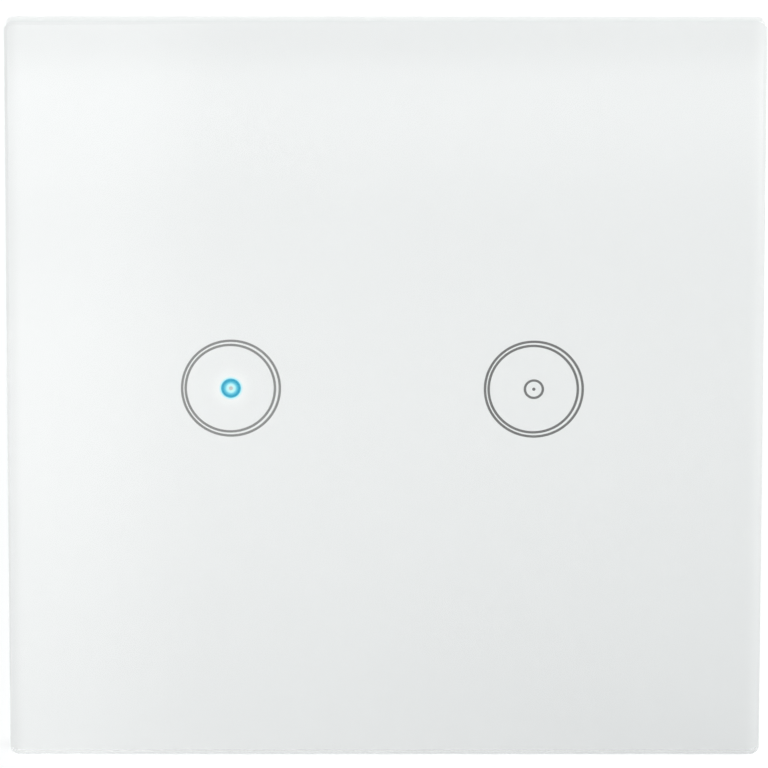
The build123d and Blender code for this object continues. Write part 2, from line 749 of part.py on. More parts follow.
def mounting_plate():
    """Pressed steel plate: turned edges, slots, hook windows, and a middle that is pressed forward.

    The housing's rim nests in the back of the pressed middle, so the rest of the back lies on the wall.
    """
    outline = rounded(flat_side, flat_side, PLATE_CORNER)
    for sign in (-1, 1):
        reach = sign * FIXING_SPACING / 2
        outline -= Pos(reach, 0) * SlotOverall(SLOT_LENGTH, SLOT_WIDTH)
        outline -= Pos(0, reach) * Rotation(0, 0, 90) * SlotOverall(SLOT_LENGTH, SLOT_WIDTH)
    plate = across(outline, plate_front, 0)
    plate += pressed_panel(PANEL_SLOPE, panel_front, plate_front + WELD)
    plate -= pressed_panel(0, panel_back, CUT)
    plate -= across(rounded(PLATE_WINDOW_X, PLATE_WINDOW_Z, PLATE_WINDOW_CORNER), panel_front - CUT, CUT)
    for x, z in boss_places:
        plate -= rod(x, z, PLATE_SCREW_RADIUS + LOOSE, panel_front - CUT, CUT)
    edge = turned_edge()
    for turn in (0, 90, 180, 270):
        plate += Rot(0, turn, 0) * edge
    high = plate_front - WINDOW_LIFT
    for x in (-HOOK_X, HOOK_X):
        for sign in (-1, 1):
            through = (sign * (plate_side / 2 - PLATE - WELD), sign * (plate_side / 2 + CUT))
            plate -= brick(around(x, HOOK_WIDTH / 2 + HOOK_PLAY), (high - WINDOW_TALL, high), through)
    return plate


def plate_screws():
    """Screws that clamp the plate and the inner cover to the housing, headed at the front."""
    sizes = (PLATE_SCREW_RADIUS, PLATE_SCREW_HEAD_RADIUS, PLATE_SCREW_HEAD)
    reach = PLATE_SCREW_REACH + PLATE
    return gather(Rot(180, 0, 0) * pan_screw(x, -z, *sizes, -panel_front, reach) for x, z in boss_places)


def housing_outline(inset):
    """Rounded outline of the rear housing, moved inwards."""
    return rounded(housing_x - 2 * inset, housing_z - 2 * inset, HOUSING_CORNER - inset)


def above_step(inset):
    """The part of the outline that reaches the full depth."""
    low = step_z + inset
    high = housing_z / 2
    window = Pos(0, (low + high) / 2) * Rectangle(housing_x, high - low)
    return housing_outline(inset) & window


def inner_cover():
    """Insulating plate behind the steel one; its island fills the steel plate's window."""
    plate = across(housing_outline(HOUSING_WALL + LOOSE), panel_back, cover_back)
    window = (PLATE_WINDOW_X - 2 * LOOSE, PLATE_WINDOW_Z - 2 * LOOSE, PLATE_WINDOW_CORNER - LOOSE)
    plate += across(rounded(*window), panel_front, panel_back + WELD)
    for x, z in boss_places:
        plate -= rod(x, z, PLATE_SCREW_RADIUS + LOOSE, panel_back - CUT, cover_back + CUT)
    post_x = housing_inside_x - BOARD_REST - BOARD_POST / 2 - LOOSE
    for sx in (-1, 1):
        for sz in (-1, 1):
            plate += square_pin(sx * post_x, sz * BOARD_REST_Z, BOARD_POST, cover_back - WELD, power_front)
    throat_x = connector_length + 2 * ROOMY
    throat_z = HEADER_DEPTH + 2 * ROOMY
    throat = Pos(0, header_z) * Rectangle(throat_x, throat_z)
    return plate - across(throat, panel_front - CUT, cover_back + CUT)


def rear_housing():
    """Stepped tub that enters the wall box: bosses, board rests, wire entries and vents."""
    shallow = across(housing_outline(0), panel_back, shallow_back)
    shallow = chamfer(shallow.edges().group_by(Axis.Y)[-1], HOUSING_CHAMFER)
    deep = across(above_step(0), panel_back, deep_back)
    deep = chamfer(deep.edges().group_by(Axis.Y)[-1], HOUSING_CHAMFER)
    body = shallow + deep
    body -= across(housing_outline(HOUSING_WALL), panel_back - CUT, shallow_inside)
    body -= across(above_step(HOUSING_WALL), panel_back - CUT, deep_inside)
    for x, z in boss_places:
        end = deep_inside if z > 0 else shallow_inside
        body += rod(x, z, BOSS_RADIUS, cover_back, end + WELD)
        body -= rod(x, z, PLATE_SCREW_RADIUS, cover_back - CUT, cover_back + PILOT_DEPTH)
    for sx in (-1, 1):
        rest = (sx * (housing_inside_x - BOARD_REST), sx * (housing_inside_x + WELD))
        for sz in (-1, 1):
            body += brick(rest, (power_back, shallow_inside + WELD), around(sz * BOARD_REST_Z, RIB / 2))
    entry_y = (clamp_floor - ROOMY, bar_low + ROOMY)
    for x in pole_places:
        entry_x = around(x, CLAMP_INSIDE_X / 2 + ROOMY)
        body -= brick(entry_x, entry_y, (-housing_z / 2 - CUT, -housing_inside_z + WELD))
        body -= rod(x, pole_z, HOUSING_DRIVER_RADIUS, shallow_inside - WELD, shallow_back + CUT)
    vent = Rectangle(VENT_WIDTH, VENT_LENGTH)
    for i in range(VENT_COUNT):
        x = (i - (VENT_COUNT - 1) / 2) * VENT_PITCH
        plane = Plane(origin=(x, (power_back + deep_inside) / 2, housing_inside_z - WELD))
        body -= extrude(plane * vent, amount=HOUSING_WALL + CUT)
    return body


def supply_leads():
    """Where the leads of each leaded supply part cross the power board."""
    pair = (-1, 1)
    rail_pitch = CORE_SIDE / RAIL_PINS
    rail_x = [core_x + (i - (RAIL_PINS - 1) / 2) * rail_pitch for i in range(RAIL_PINS)]
    rail_z = [core_z + side * (CORE_SIDE - RAIL_DEPTH) / 2 for side in pair]
    return {
        "bulk": [(x, z + side * BULK_LEAD_OUT) for x, z in bulk_places for side in pair],
        "line": [(line_cap_x + side * (LINE_CAP_X / 2 - LINE_LEAD_INSET), upper_z) for side in pair],
        "fuse": [(fuse_x + side * FUSE_LEAD_OUT, upper_z) for side in pair],
        "varistor": [(varistor_x, upper_z + side * VARISTOR_LEAD_OUT) for side in pair],
        "inductor": [(inductor_x, upper_z + side * INDUCTOR_LEAD_OUT) for side in pair],
        "rail": [(x, z) for x in rail_x for z in rail_z],
    }


def lead_rods(name, top):
    """The square leads of one part, from the front of the power board to a depth."""
    return [square_pin(x, z, LEAD, power_front - LEAD_OUT, top) for x, z in supply_leads()[name]]


def power_board():
    """Mains board, notched round the four bosses and drilled for pins."""
    outline = housing_outline(HOUSING_WALL + ROOMY)
    for x, z in boss_places:
        outline -= Pos(x, z) * Circle(BOSS_RADIUS + ROOMY)
    for x in pin_places:
        outline -= square_hole(x, header_z, PIN_SIDE)
    for x in pole_places:
        outline -= Pos(x, bar_leg_z) * Rectangle(BAR_PIN + 2 * LOOSE, BAR + 2 * LOOSE)
    for x in relay_places:
        for dx, dz in relay_pin_spots:
            outline -= square_hole(x + dx, relay_centre_z + dz, CONTACT_PIN)
    for places in supply_leads().values():
        for x, z in places:
            outline -= square_hole(x, z, LEAD)
    return across(outline, power_front, power_back)


def terminal_block():
    """Four-pole block: a chamber, a wire entry and a screwdriver hole for each pole."""
    body = brick(around(0, block_half_x), (power_back, block_top), (block_low_z, block_high_z))
    body = chamfer(body.edges().filter_by(Axis.X).group_by(Axis.Y)[-1], BLOCK_LIP)
    slot = BAR_WIDTH / 2 + LOOSE
    for x in pole_places:
        chamber_y = (power_back + BLOCK_FLOOR, head_low)
        body -= brick(around(x, chamber_half_x), chamber_y, (chamber_low_z, chamber_high_z))
        body -= rod(x, pole_z, SCREW_HEAD_RADIUS + LOOSE, head_low - WELD, block_lip)
        body -= rod(x, pole_z, DRIVER_HOLE_RADIUS, block_lip - WELD, block_top + CUT)
        entry_z = (block_low_z - CUT, chamber_low_z + WELD)
        body -= brick(around(x, CLAMP_INSIDE_X / 2), (clamp_floor, bar_low), entry_z)
        slot_z = (chamber_high_z - WELD, bar_leg_z + BAR / 2 + LOOSE)
        body -= brick(around(x, slot), (power_back - CUT, bar_high + LOOSE), slot_z)
    groove_y = (block_top - BLOCK_GROOVE_DEPTH, block_top + CUT)
    groove_z = (block_low_z - CUT, block_high_z + CUT)
    for left, right in zip(pole_places, pole_places[1:]):
        body -= brick(around((left + right) / 2, BLOCK_GROOVE / 2), groove_y, groove_z)
    return body


def terminal_bars():
    """Fixed conductor of each pole, bent down to a solder pin."""
    bars = []
    leg = around(bar_leg_z, BAR / 2)
    pin_y = (power_front - LEAD_OUT, power_back + SNUG + WELD)
    for x in pole_places:
        wide = around(x, BAR_WIDTH / 2)
        bar = brick(wide, (bar_low, bar_high), (pole_z - CLAMP_DEPTH / 2 + LOOSE, leg[1]))
        bar += brick(wide, (power_back + SNUG, bar_high), leg)
        bar = fillet(bar.edges().filter_by(Axis.X).sort_by_distance((x, bar_high, leg[1]))[0], BAR_BEND)
        bars.append(bar + brick(around(x, BAR_PIN / 2), pin_y, leg))
    return gather(bars)


def terminal_screw(x):
    """Captive clamp screw with a slotted cheese head; its tip bears on the bar."""
    shank = rod(x, pole_z, SCREW_RADIUS, bar_high + SNUG, head_low)
    head = rod(x, pole_z, SCREW_HEAD_RADIUS, head_low, head_high)
    slot = Pos(x, pole_z) * Rectangle(2 * SCREW_HEAD_RADIUS + CUT, SCREW_SLOT)
    return shank + (head - across(slot, head_high - SCREW_SLOT_DEPTH, head_high + CUT))


def terminal_clamp(x):
    """Rising cage: a bent steel ring whose floor lifts the wire against the bar."""
    half = CLAMP_INSIDE_X / 2
    ring = brick(around(x, half + CLAMP_WALL), (clamp_low, clamp_high), around(pole_z, CLAMP_DEPTH / 2))
    ring = chamfer(ring.edges().filter_by(Axis.Z), CLAMP_BEND)
    ring -= brick(around(x, half), (clamp_floor, clamp_roof), around(pole_z, CLAMP_DEPTH / 2 + CUT))
    return ring - rod(x, pole_z, SCREW_RADIUS + SNUG, clamp_roof - WELD, clamp_high + CUT)


def tilted(piece):
    """Lifts a part that is laid flat on the yoke's top edge to the released position."""
    return Pos(0, YOKE_TOP, pivot_z) * Rot(-OPEN_TILT, 0, 0) * piece


def relay_base():
    """Moulded base with a barrier between coil and contacts."""
    gap = RELAY_CASE + 2 * SNUG
    half_x = RELAY_WIDTH / 2 - gap
    base = brick(around(0, half_x), (RELAY_STAND, base_top), around(0, relay_half_z - gap))
    wall = coil_z + BOBBIN_SIDE / 2 + PART_GAP
    barrier_y = (base_top - WELD, YOKE_TOP - BARRIER_DROP)
    base += brick(around(0, half_x - ROOMY), barrier_y, (wall, wall + RELAY_CASE))
    through = (RELAY_STAND - CUT, base_top + CUT)
    for dx, dz in relay_pin_spots[:2]:
        base -= square_pin(dx, dz, LEAD + 2 * SNUG, *through)
    slot_z = around(strip_z + STRIP / 2, STRIP / 2 + SNUG)
    return base - brick(around(0, STRIP_WIDTH / 2 + SNUG), through, slot_z)


def relay_case():
    """Thin dust cover over the relay."""
    outer = brick(around(0, RELAY_WIDTH / 2), (CASE_LIFT, RELAY_HEIGHT), around(0, relay_half_z))
    outer = chamfer(outer.edges().filter_by(Axis.Y) + outer.edges().group_by(Axis.Y)[-1], CASE_CHAMFER)
    half_x = RELAY_WIDTH / 2 - RELAY_CASE
    inside = (CASE_LIFT - CUT, RELAY_HEIGHT - RELAY_CASE)
    return outer - brick(around(0, half_x), inside, around(0, relay_half_z - RELAY_CASE))


def relay_yoke():
    """L-shaped iron yoke; the armature rocks on its outer top edge."""
    wide = around(0, YOKE_HALF_WIDTH)
    foot = brick(wide, (base_top, bobbin_low), (pivot_z, coil_z + POLE_RADIUS))
    leg = brick(wide, (base_top, YOKE_TOP - SNUG / 2), (pivot_z, pivot_z + YOKE))
    return foot + leg - rod(0, coil_z, CORE_RADIUS + SNUG / 2, base_top - CUT, bobbin_low + CUT)


def relay_core():
    """Iron core with its pole head."""
    stem = rod(0, coil_z, CORE_RADIUS, base_top, pole_low)
    return stem + rod(0, coil_z, POLE_RADIUS, pole_low, pole_low + POLE)


def relay_bobbin():
    """Coil former between the yoke's foot and the pole, notched for the coil pins."""
    square = Pos(0, coil_z) * Rectangle(BOBBIN_SIDE, BOBBIN_SIDE)
    former = across(square, bobbin_low, bobbin_low + BOBBIN_FLANGE)
    former += across(square, bobbin_high - BOBBIN_FLANGE, bobbin_high)
    former += rod(0, coil_z, BOBBIN_TUBE_RADIUS, bobbin_low, bobbin_high)
    for dx, dz in relay_pin_spots[:2]:
        former -= square_pin(dx, dz, LEAD + 2 * SNUG, bobbin_low - CUT, bobbin_low + BOBBIN_FLANGE + CUT)
    return former - rod(0, coil_z, CORE_RADIUS + SNUG, bobbin_low - CUT, bobbin_high + CUT)


def relay_winding():
    """Copper winding on the former, with the two pins that feed it."""
    span = (bobbin_low + BOBBIN_FLANGE, bobbin_high - BOBBIN_FLANGE)
    coil = rod(0, coil_z, WINDING_RADIUS, *span)
    coil -= rod(0, coil_z, BOBBIN_TUBE_RADIUS, span[0] - CUT, span[1] + CUT)
    pin_front = -POWER_BOARD - LEAD_OUT
    pins = [square_pin(dx, dz, LEAD, pin_front, span[0]) for dx, dz in relay_pin_spots[:2]]
    return gather([coil, *pins])


def relay_armature():
    """Iron flap that the coil pulls down, shown released."""
    wide = around(0, YOKE_HALF_WIDTH - ARMATURE_INSET)
    flap = brick(wide, (0, ARMATURE), (HEEL_BACK, ARMATURE_LENGTH))
    return tilted(chamfer(flap.edges().filter_by(Axis.Y).group_by(Axis.Z)[-1], ARMATURE_CORNER))


def relay_blade():
    """Springy contact blade staked to the armature, with the moving contact at its end."""
    top = ARMATURE + BLADE
    blade = brick(around(0, BLADE_WIDTH / 2), (ARMATURE, top), (BLADE_START, BLADE_REACH))
    blade = chamfer(blade.edges().filter_by(Axis.Y).group_by(Axis.Z)[-1], BLADE_CORNER)
    for offset in STAKE_OFFSETS:
        blade += square_pin(0, BLADE_START + offset, STAKE_SIDE, ARMATURE, top + STAKE_HEIGHT)
    blade += square_pin(0, CONTACT_ARM, STAKE_SIDE, ARMATURE, top + STAKE_HEIGHT)
    contact_y = (ARMATURE - MOVING_CONTACT, ARMATURE + BLADE / 2)
    return tilted(blade + rod(0, CONTACT_ARM, CONTACT_RADIUS, *contact_y))


def relay_spring():
    """Leaf fixed to the yoke's back, which presses the armature's heel open."""
    wide = around(0, RETURN_WIDTH / 2)
    back_y = (base_top + RETURN_FOOT, YOKE_TOP + ARMATURE + BLADE)
    back = brick(wide, back_y, (pivot_z - BLADE - SNUG, pivot_z - SNUG))
    over = (ARMATURE + SNUG, ARMATURE + SNUG + BLADE)
    return back + tilted(brick(wide, over, (-BLADE, RETURN_REACH)))


def relay_contact():
    """Fixed contact on its bent strip, which ends in the load pin."""
    top = fixed_top - FIXED_CONTACT
    outer = strip_z + STRIP
    foot = RELAY_STAND + STRIP_LIFT
    wide = around(0, STRIP_WIDTH / 2)
    mast = brick(wide, (foot, top), (strip_z, outer))
    tab = brick(wide, (top - STRIP, top), (fixed_z - CONTACT_RADIUS - TAB_MARGIN, outer))
    strip = mast + tab
    strip = fillet(strip.edges().filter_by(Axis.X).sort_by_distance((0, top, outer))[0], STRIP_BEND)
    pin = brick(around(0, CONTACT_PIN / 2), (-POWER_BOARD - LEAD_OUT, foot + WELD), (strip_z, outer))
    return strip + pin + rod(0, fixed_z, CONTACT_RADIUS, top, fixed_top)


def in_relay(index, piece):
    """Places a relay part, made about its own base centre, on the power board."""
    place = Pos(relay_places[index], power_back, relay_centre_z)
    return gather(place * solid for solid in piece.solids())


def transformer_core():
    """Pair of E cores that meet end to end, lying flat above the board."""
    half = CORE_SIDE / 2
    low = power_back + CORE_LIFT
    outline = Pos(core_x, core_z) * Rectangle(CORE_SIDE, CORE_SIDE)
    window = (CORE_SIDE - CORE_CENTRE_LEG - 2 * CORE_LEG) / 2
    for side in (-1, 1):
        middle = core_x + side * (CORE_CENTRE_LEG + window) / 2
        outline -= Pos(middle, core_z) * Rectangle(window, CORE_SIDE - 2 * CORE_LEG)
    core = across(outline, low, low + CORE_THICK)
    corners = core.edges().filter_by(Axis.Y).filter_by(lambda e: abs(e.center().Z - core_z) > half - WELD)
    return chamfer(corners, CORE_CHAMFER)


def coil_former(wall, low_z, high_z):
    """Rectangular sleeve round the centre leg, between two places along it."""
    half_x = CORE_CENTRE_LEG / 2 + wall
    low = power_back + CORE_LIFT - wall
    high = power_back + CORE_LIFT + CORE_THICK + wall
    outer = brick(around(core_x, half_x), (low, high), (low_z, high_z))
    leg = (power_back + CORE_LIFT - SNUG, power_back + CORE_LIFT + CORE_THICK + SNUG)
    return outer - brick(around(core_x, CORE_CENTRE_LEG / 2 + SNUG), leg, (low_z - CUT, high_z + CUT))


def transformer_bobbin():
    """Former on the centre leg, its two pin rails under the core, and its pins."""
    inside = around(core_z, CORE_SIDE / 2 - CORE_LEG - SNUG)
    former = coil_former(FORMER_WALL, *inside)
    former += coil_former(COIL_WALL, inside[0], inside[0] + FORMER_FLANGE)
    former += coil_former(COIL_WALL, inside[1] - FORMER_FLANGE, inside[1])
    rail_y = (power_back + ROOMY, power_back + CORE_LIFT - SNUG)
    for side in (-1, 1):
        edge = core_z + side * CORE_SIDE / 2
        former += brick(around(core_x, CORE_SIDE / 2), rail_y, (edge, edge - side * RAIL_DEPTH))
        inner = core_z + side * (CORE_SIDE / 2 - CORE_LEG - SNUG - FORMER_FLANGE)
        link_x = around(core_x, CORE_CENTRE_LEG / 2 + FORMER_WALL)
        link_y = (rail_y[1] - LINK_HEIGHT, rail_y[1])
        former += brick(link_x, link_y, (edge - side * RAIL_DEPTH / 2, inner))
    for pin in lead_rods("rail", rail_y[0] + ROOMY):
        former += pin
    return former


def transformer_winding():
    """Taped winding between the former's flanges."""
    inside = around(core_z, CORE_SIDE / 2 - CORE_LEG - SNUG - FORMER_FLANGE)
    winding = coil_former(COIL_WALL - WINDING_SINK, *inside)
    winding = fillet(winding.edges().filter_by(Axis.Z).group_by(Axis.Y)[-1], WINDING_ROUND)
    hollow_x = around(core_x, CORE_CENTRE_LEG / 2 + FORMER_WALL)
    hollow_y = (power_back + CORE_LIFT - FORMER_WALL, power_back + CORE_LIFT + CORE_THICK + FORMER_WALL)
    return winding - brick(hollow_x, hollow_y, around(core_z, CORE_SIDE))


def can_capacitor(x, z):
    """Radial can with a crimped groove near the board and a sloped shoulder."""
    low = power_back + ROOMY
    crimp = low + CRIMP_LOW
    can = rod(x, z, BULK_RADIUS, crimp + CRIMP_TALL, low + BULK_HEIGHT)
    can = chamfer(can.edges().group_by(Axis.Y)[-1], CAN_SHOULDER)
    can += rod(x, z, BULK_RADIUS, low, crimp)
    return can + rod(x, z, BULK_RADIUS - CRIMP_DEPTH, crimp - WELD, crimp + CRIMP_TALL + WELD)


def bulk_capacitors():
    """The two smoothing capacitors with their leads."""
    leads = lead_rods("bulk", power_back + ROOMY + LEAD_SINK)
    return gather(can_capacitor(*bulk_places[i]) + leads[2 * i] + leads[2 * i + 1] for i in (0, 1))


def line_capacitor():
    """Boxed film capacitor across the mains."""
    low = power_back + PART_LIFT
    span = (low, low + LINE_CAP_HEIGHT)
    box = brick(around(line_cap_x, LINE_CAP_X / 2), span, around(upper_z, LINE_CAP_Z / 2))
    box = chamfer(box.edges().filter_by(Axis.Y), LINE_CAP_EDGE)
    arch_x = around(line_cap_x, LINE_CAP_X / 2 - LINE_CAP_FOOT)
    box -= brick(arch_x, (low - CUT, low + LINE_CAP_FOOT_HEIGHT), around(upper_z, LINE_CAP_Z / 2 + CUT))
    for lead in lead_rods("line", low + LEAD_SINK):
        box += lead
    return box


def fuse():
    """Round plug-in fuse."""
    low = power_back + PART_LIFT
    body = rod(fuse_x, upper_z, FUSE_RADIUS, low, low + FUSE_HEIGHT)
    body = chamfer(body.edges().group_by(Axis.Y)[-1], FUSE_EDGE)
    body += rod(fuse_x, upper_z, FUSE_RADIUS + FUSE_FOOT, low, low + FUSE_FOOT_HEIGHT)
    for lead in lead_rods("fuse", low + LEAD_SINK):
        body += lead
    return body


def varistor():
    """Dipped disc that stands on its two leads."""
    middle_y = power_back + VARISTOR_LIFT + VARISTOR_RADIUS
    face = Plane(origin=(varistor_x - VARISTOR_THICK / 2, middle_y, upper_z), z_dir=(1, 0, 0))
    body = extrude(face * Circle(VARISTOR_RADIUS), amount=VARISTOR_THICK)
    body = chamfer(body.edges(), VARISTOR_EDGE)
    for lead in lead_rods("varistor", middle_y):
        body += lead
    return body


def inductor():
    """Drum inductor: winding between two round flanges."""
    low = power_back + PART_LIFT
    top = low + INDUCTOR_HEIGHT
    body = rod(inductor_x, upper_z, INDUCTOR_RADIUS - INDUCTOR_WAIST, low, top)
    body += rod(inductor_x, upper_z, INDUCTOR_RADIUS, low, low + INDUCTOR_FLANGE)
    body += rod(inductor_x, upper_z, INDUCTOR_RADIUS, top - INDUCTOR_FLANGE, top)
    for lead in lead_rods("inductor", low + LEAD_SINK):
        body += lead
    return body


def power_chips():
    """Bridge rectifier and switching regulator on the back of the power board."""
    return gather(
        [
            chip((core_x - POWER_CHIP_OUT, chip_z), RECTIFIER, 2, power_back, 1),
            chip((core_x + POWER_CHIP_OUT, chip_z), SWITCHER, 4, power_back, 1),
        ]
    )


nodes = {
    "glass_panel": glass_panel(),
    "adhesive_sheet": adhesive_sheet(),
    "front_frame": front_frame(),
    "led_collars": led_collars(),
    "indicator_leds": indicator_leds(),
    "control_board": control_board(),
    "board_screws": board_screws(),
    "wireless_board": wireless_board(),
    "wireless_shield": wireless_shield(),
    "control_chips": control_chips(),
    "header_body": header_body(),
    "header_pins": header_pins(),
    "mounting_plate": mounting_plate(),
    "plate_screws": plate_screws(),
    "inner_cover": inner_cover(),
    "rear_housing": rear_housing(),
    "power_board": power_board(),
    "socket_body": socket_body(),
    "socket_contacts": socket_contacts(),
    "terminal_block": terminal_block(),
    "terminal_bars": terminal_bars(),
    "relay_cores": gather(in_relay(i, relay_core()) for i in (0, 1)),
    "relay_springs": gather(in_relay(i, relay_spring()) for i in (0, 1)),
    "transformer_core": transformer_core(),
    "transformer_bobbin": transformer_bobbin(),
    "transformer_winding": transformer_winding(),
    "bulk_capacitors": bulk_capacitors(),
    "line_capacitor": line_capacitor(),
    "fuse": fuse(),
    "varistor": varistor(),
    "inductor": inductor(),
    "power_chips": power_chips(),
}
for number, touch_x in enumerate(touch_places, start=1):
    nodes[f"light_guide_{number}"] = light_guide(touch_x)
    nodes[f"touch_spring_{number}"] = touch_spring(touch_x)
for number, pole_x in enumerate(pole_places, start=1):
    nodes[f"terminal_screw_{number}"] = terminal_screw(pole_x)
    nodes[f"terminal_clamp_{number}"] = terminal_clamp(pole_x)
relay_parts = {
    "base": relay_base(),
    "case": relay_case(),
    "yoke": relay_yoke(),
    "bobbin": relay_bobbin(),
    "winding": relay_winding(),
    "contact": relay_contact(),
    "armature": relay_armature(),
    "blade": relay_blade(),
}
for index in (0, 1):
    for part_name, shape in relay_parts.items():
        nodes[f"relay_{part_name}_{index + 1}"] = in_relay(index, shape)

os.makedirs("parts", exist_ok=True)
for name, shape in nodes.items():
    export_step(shape, f"parts/{name}.step")
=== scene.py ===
"""Looks of a double touch light switch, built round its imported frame.

Lengths are metres. X runs to the right of the face, Y into the wall and Z up, as in the
frame. The glass face with its back print and touch marks comes first, then the pieces
behind it, and the studio last.
"""

import json
import logging
import math
from collections.abc import Callable, Iterable, Mapping, Sequence
from dataclasses import asdict, dataclass, field
from enum import StrEnum
from functools import cache, reduce

import bmesh
import bpy
from bmesh.types import BMEdge, BMesh, BMFace
from bpy.types import ID, Material, Mesh, Node, NodeSocket, NodeTree, Object, World
from mathutils import Matrix, Quaternion, Vector


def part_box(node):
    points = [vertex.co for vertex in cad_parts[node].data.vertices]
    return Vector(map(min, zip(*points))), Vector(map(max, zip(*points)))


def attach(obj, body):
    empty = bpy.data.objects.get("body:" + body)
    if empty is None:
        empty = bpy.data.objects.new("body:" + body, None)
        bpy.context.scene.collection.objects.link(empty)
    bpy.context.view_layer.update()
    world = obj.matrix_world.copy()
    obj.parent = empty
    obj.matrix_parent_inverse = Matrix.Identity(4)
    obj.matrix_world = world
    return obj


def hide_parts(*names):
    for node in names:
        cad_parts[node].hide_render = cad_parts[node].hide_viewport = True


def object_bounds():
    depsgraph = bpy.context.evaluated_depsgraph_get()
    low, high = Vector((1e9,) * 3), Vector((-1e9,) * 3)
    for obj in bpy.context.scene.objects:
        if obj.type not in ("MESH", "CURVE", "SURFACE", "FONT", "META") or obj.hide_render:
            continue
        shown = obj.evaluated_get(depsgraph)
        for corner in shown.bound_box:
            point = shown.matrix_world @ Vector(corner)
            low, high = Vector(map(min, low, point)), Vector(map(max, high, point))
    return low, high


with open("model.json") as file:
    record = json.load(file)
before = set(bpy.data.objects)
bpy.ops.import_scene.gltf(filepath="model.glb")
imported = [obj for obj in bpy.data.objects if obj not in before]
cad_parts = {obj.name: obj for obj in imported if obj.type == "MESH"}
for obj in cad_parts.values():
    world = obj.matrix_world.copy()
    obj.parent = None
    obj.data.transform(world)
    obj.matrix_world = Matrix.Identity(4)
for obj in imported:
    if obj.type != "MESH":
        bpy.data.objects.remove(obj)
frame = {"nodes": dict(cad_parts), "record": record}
CAD_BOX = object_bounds()

LOG = logging.getLogger("touch_switch")
MM = 0.001
QUARTER_TURN = math.pi / 2
SHARP_ANGLE = math.radians(32)

Colour = tuple[float, float, float]
Point = tuple[float, float, float]
Span = tuple[float, float]
Values = Mapping[str, object]

NOTHING: Values = {}
ORIGIN: Point = (0.0, 0.0, 0.0)
EVEN: Point = (1.0, 1.0, 1.0)
BLACK: Colour = (0.0, 0.0, 0.0)
WHITE: Colour = (1.0, 1.0, 1.0)
GLASS_GLOSS = 0.04
PRINT_GLOSS = 0.1
GLASS_INDEX = 1.5


def tone(red: int, green: int, blue: int) -> Colour:
    """Turns display steps from 0 to 255 into a linear colour."""
    shares = (step / 255 for step in (red, green, blue))
    return tuple(s / 12.92 if s <= 0.04045 else ((s + 0.055) / 1.055) ** 2.4 for s in shares)


def dimmed(colour: Colour, share: float) -> Colour:
    """A colour made darker by a share of itself."""
    return tuple(part * (1 - share) for part in colour)


def behind_glass(red: int, green: int, blue: int) -> Colour:
    """The light that looks like a display colour through the glass, whose gloss adds some white."""
    seen = tone(red, green, blue)
    return tuple(max(0.0, (part - GLASS_GLOSS) / (1 - GLASS_GLOSS)) for part in seen)


def emptied(owner: Material | World) -> NodeTree:
    """Empties the node tree of a material or world.

    Args:
        owner: The material or world.

    Returns:
        Its node tree.
    """
    owner.use_nodes = True
    owner.node_tree.nodes.clear()
    return owner.node_tree


def put_in_scene(name: str, data: ID) -> Object:
    """Puts a new object in the scene.

    Args:
        name: Its name.
        data: Its mesh, letters, lamp or camera.

    Returns:
        The object.
    """
    made = bpy.data.objects.new(name, data)
    bpy.context.scene.collection.objects.link(made)
    return made


def mesh_of(piece: Object) -> Mesh:
    """The mesh that an object with modifiers or letters comes out as."""
    evaluated = piece.evaluated_get(bpy.context.evaluated_depsgraph_get())
    return bpy.data.meshes.new_from_object(evaluated)


def smoothed(mesh: Mesh) -> None:
    """Shades a mesh smooth, with sharp edges where it bends."""
    mesh.shade_smooth()
    mesh.set_sharp_from_angle(angle=SHARP_ANGLE)


class Body(StrEnum):
    """The moving bodies that pieces ride on."""

    WALL = "wall_part"
    COVER = "front_cover"


class Slot(StrEnum):
    """The material slots of the record."""

    GLASS = "face_glass"
    ADHESIVE = "adhesive"
    FRAME = "frame_plastic"
    CLEAR = "clear_plastic"
    BLACK = "black_plastic"
    SPRING = "spring_steel"
    CONTROL_LAMINATE = "control_laminate"
    SMALL_SCREW = "small_screw"
    LAMP = "lamp"
    WIRELESS_LAMINATE = "wireless_laminate"
    SHIELD = "shield_tin"
    CHIP = "chip_resin"
    GOLD = "contact_gold"
    PLATE = "plate_steel"
    PLATE_SCREW = "plate_screw"
    INNER = "inner_plastic"
    HOUSING = "housing_plastic"
    POWER_LAMINATE = "power_laminate"
    TERMINAL = "terminal_plastic"
    TINNED = "tinned_copper"
    RELAY_IRON = "relay_iron"
    BRONZE = "spring_bronze"
    FERRITE = "ferrite"
    TAPE = "coil_tape"
    SLEEVE = "capacitor_sleeve"
    FILM_BOX = "capacitor_box"
    FUSE = "fuse_plastic"
    VARISTOR = "varistor_dip"
    TERMINAL_SCREW = "terminal_screw"
    CLAMP = "clamp_steel"
    RELAY_BASE = "relay_base_plastic"
    RELAY_CASE = "relay_case_plastic"
    BOBBIN = "bobbin_plastic"
    COPPER = "copper_wire"


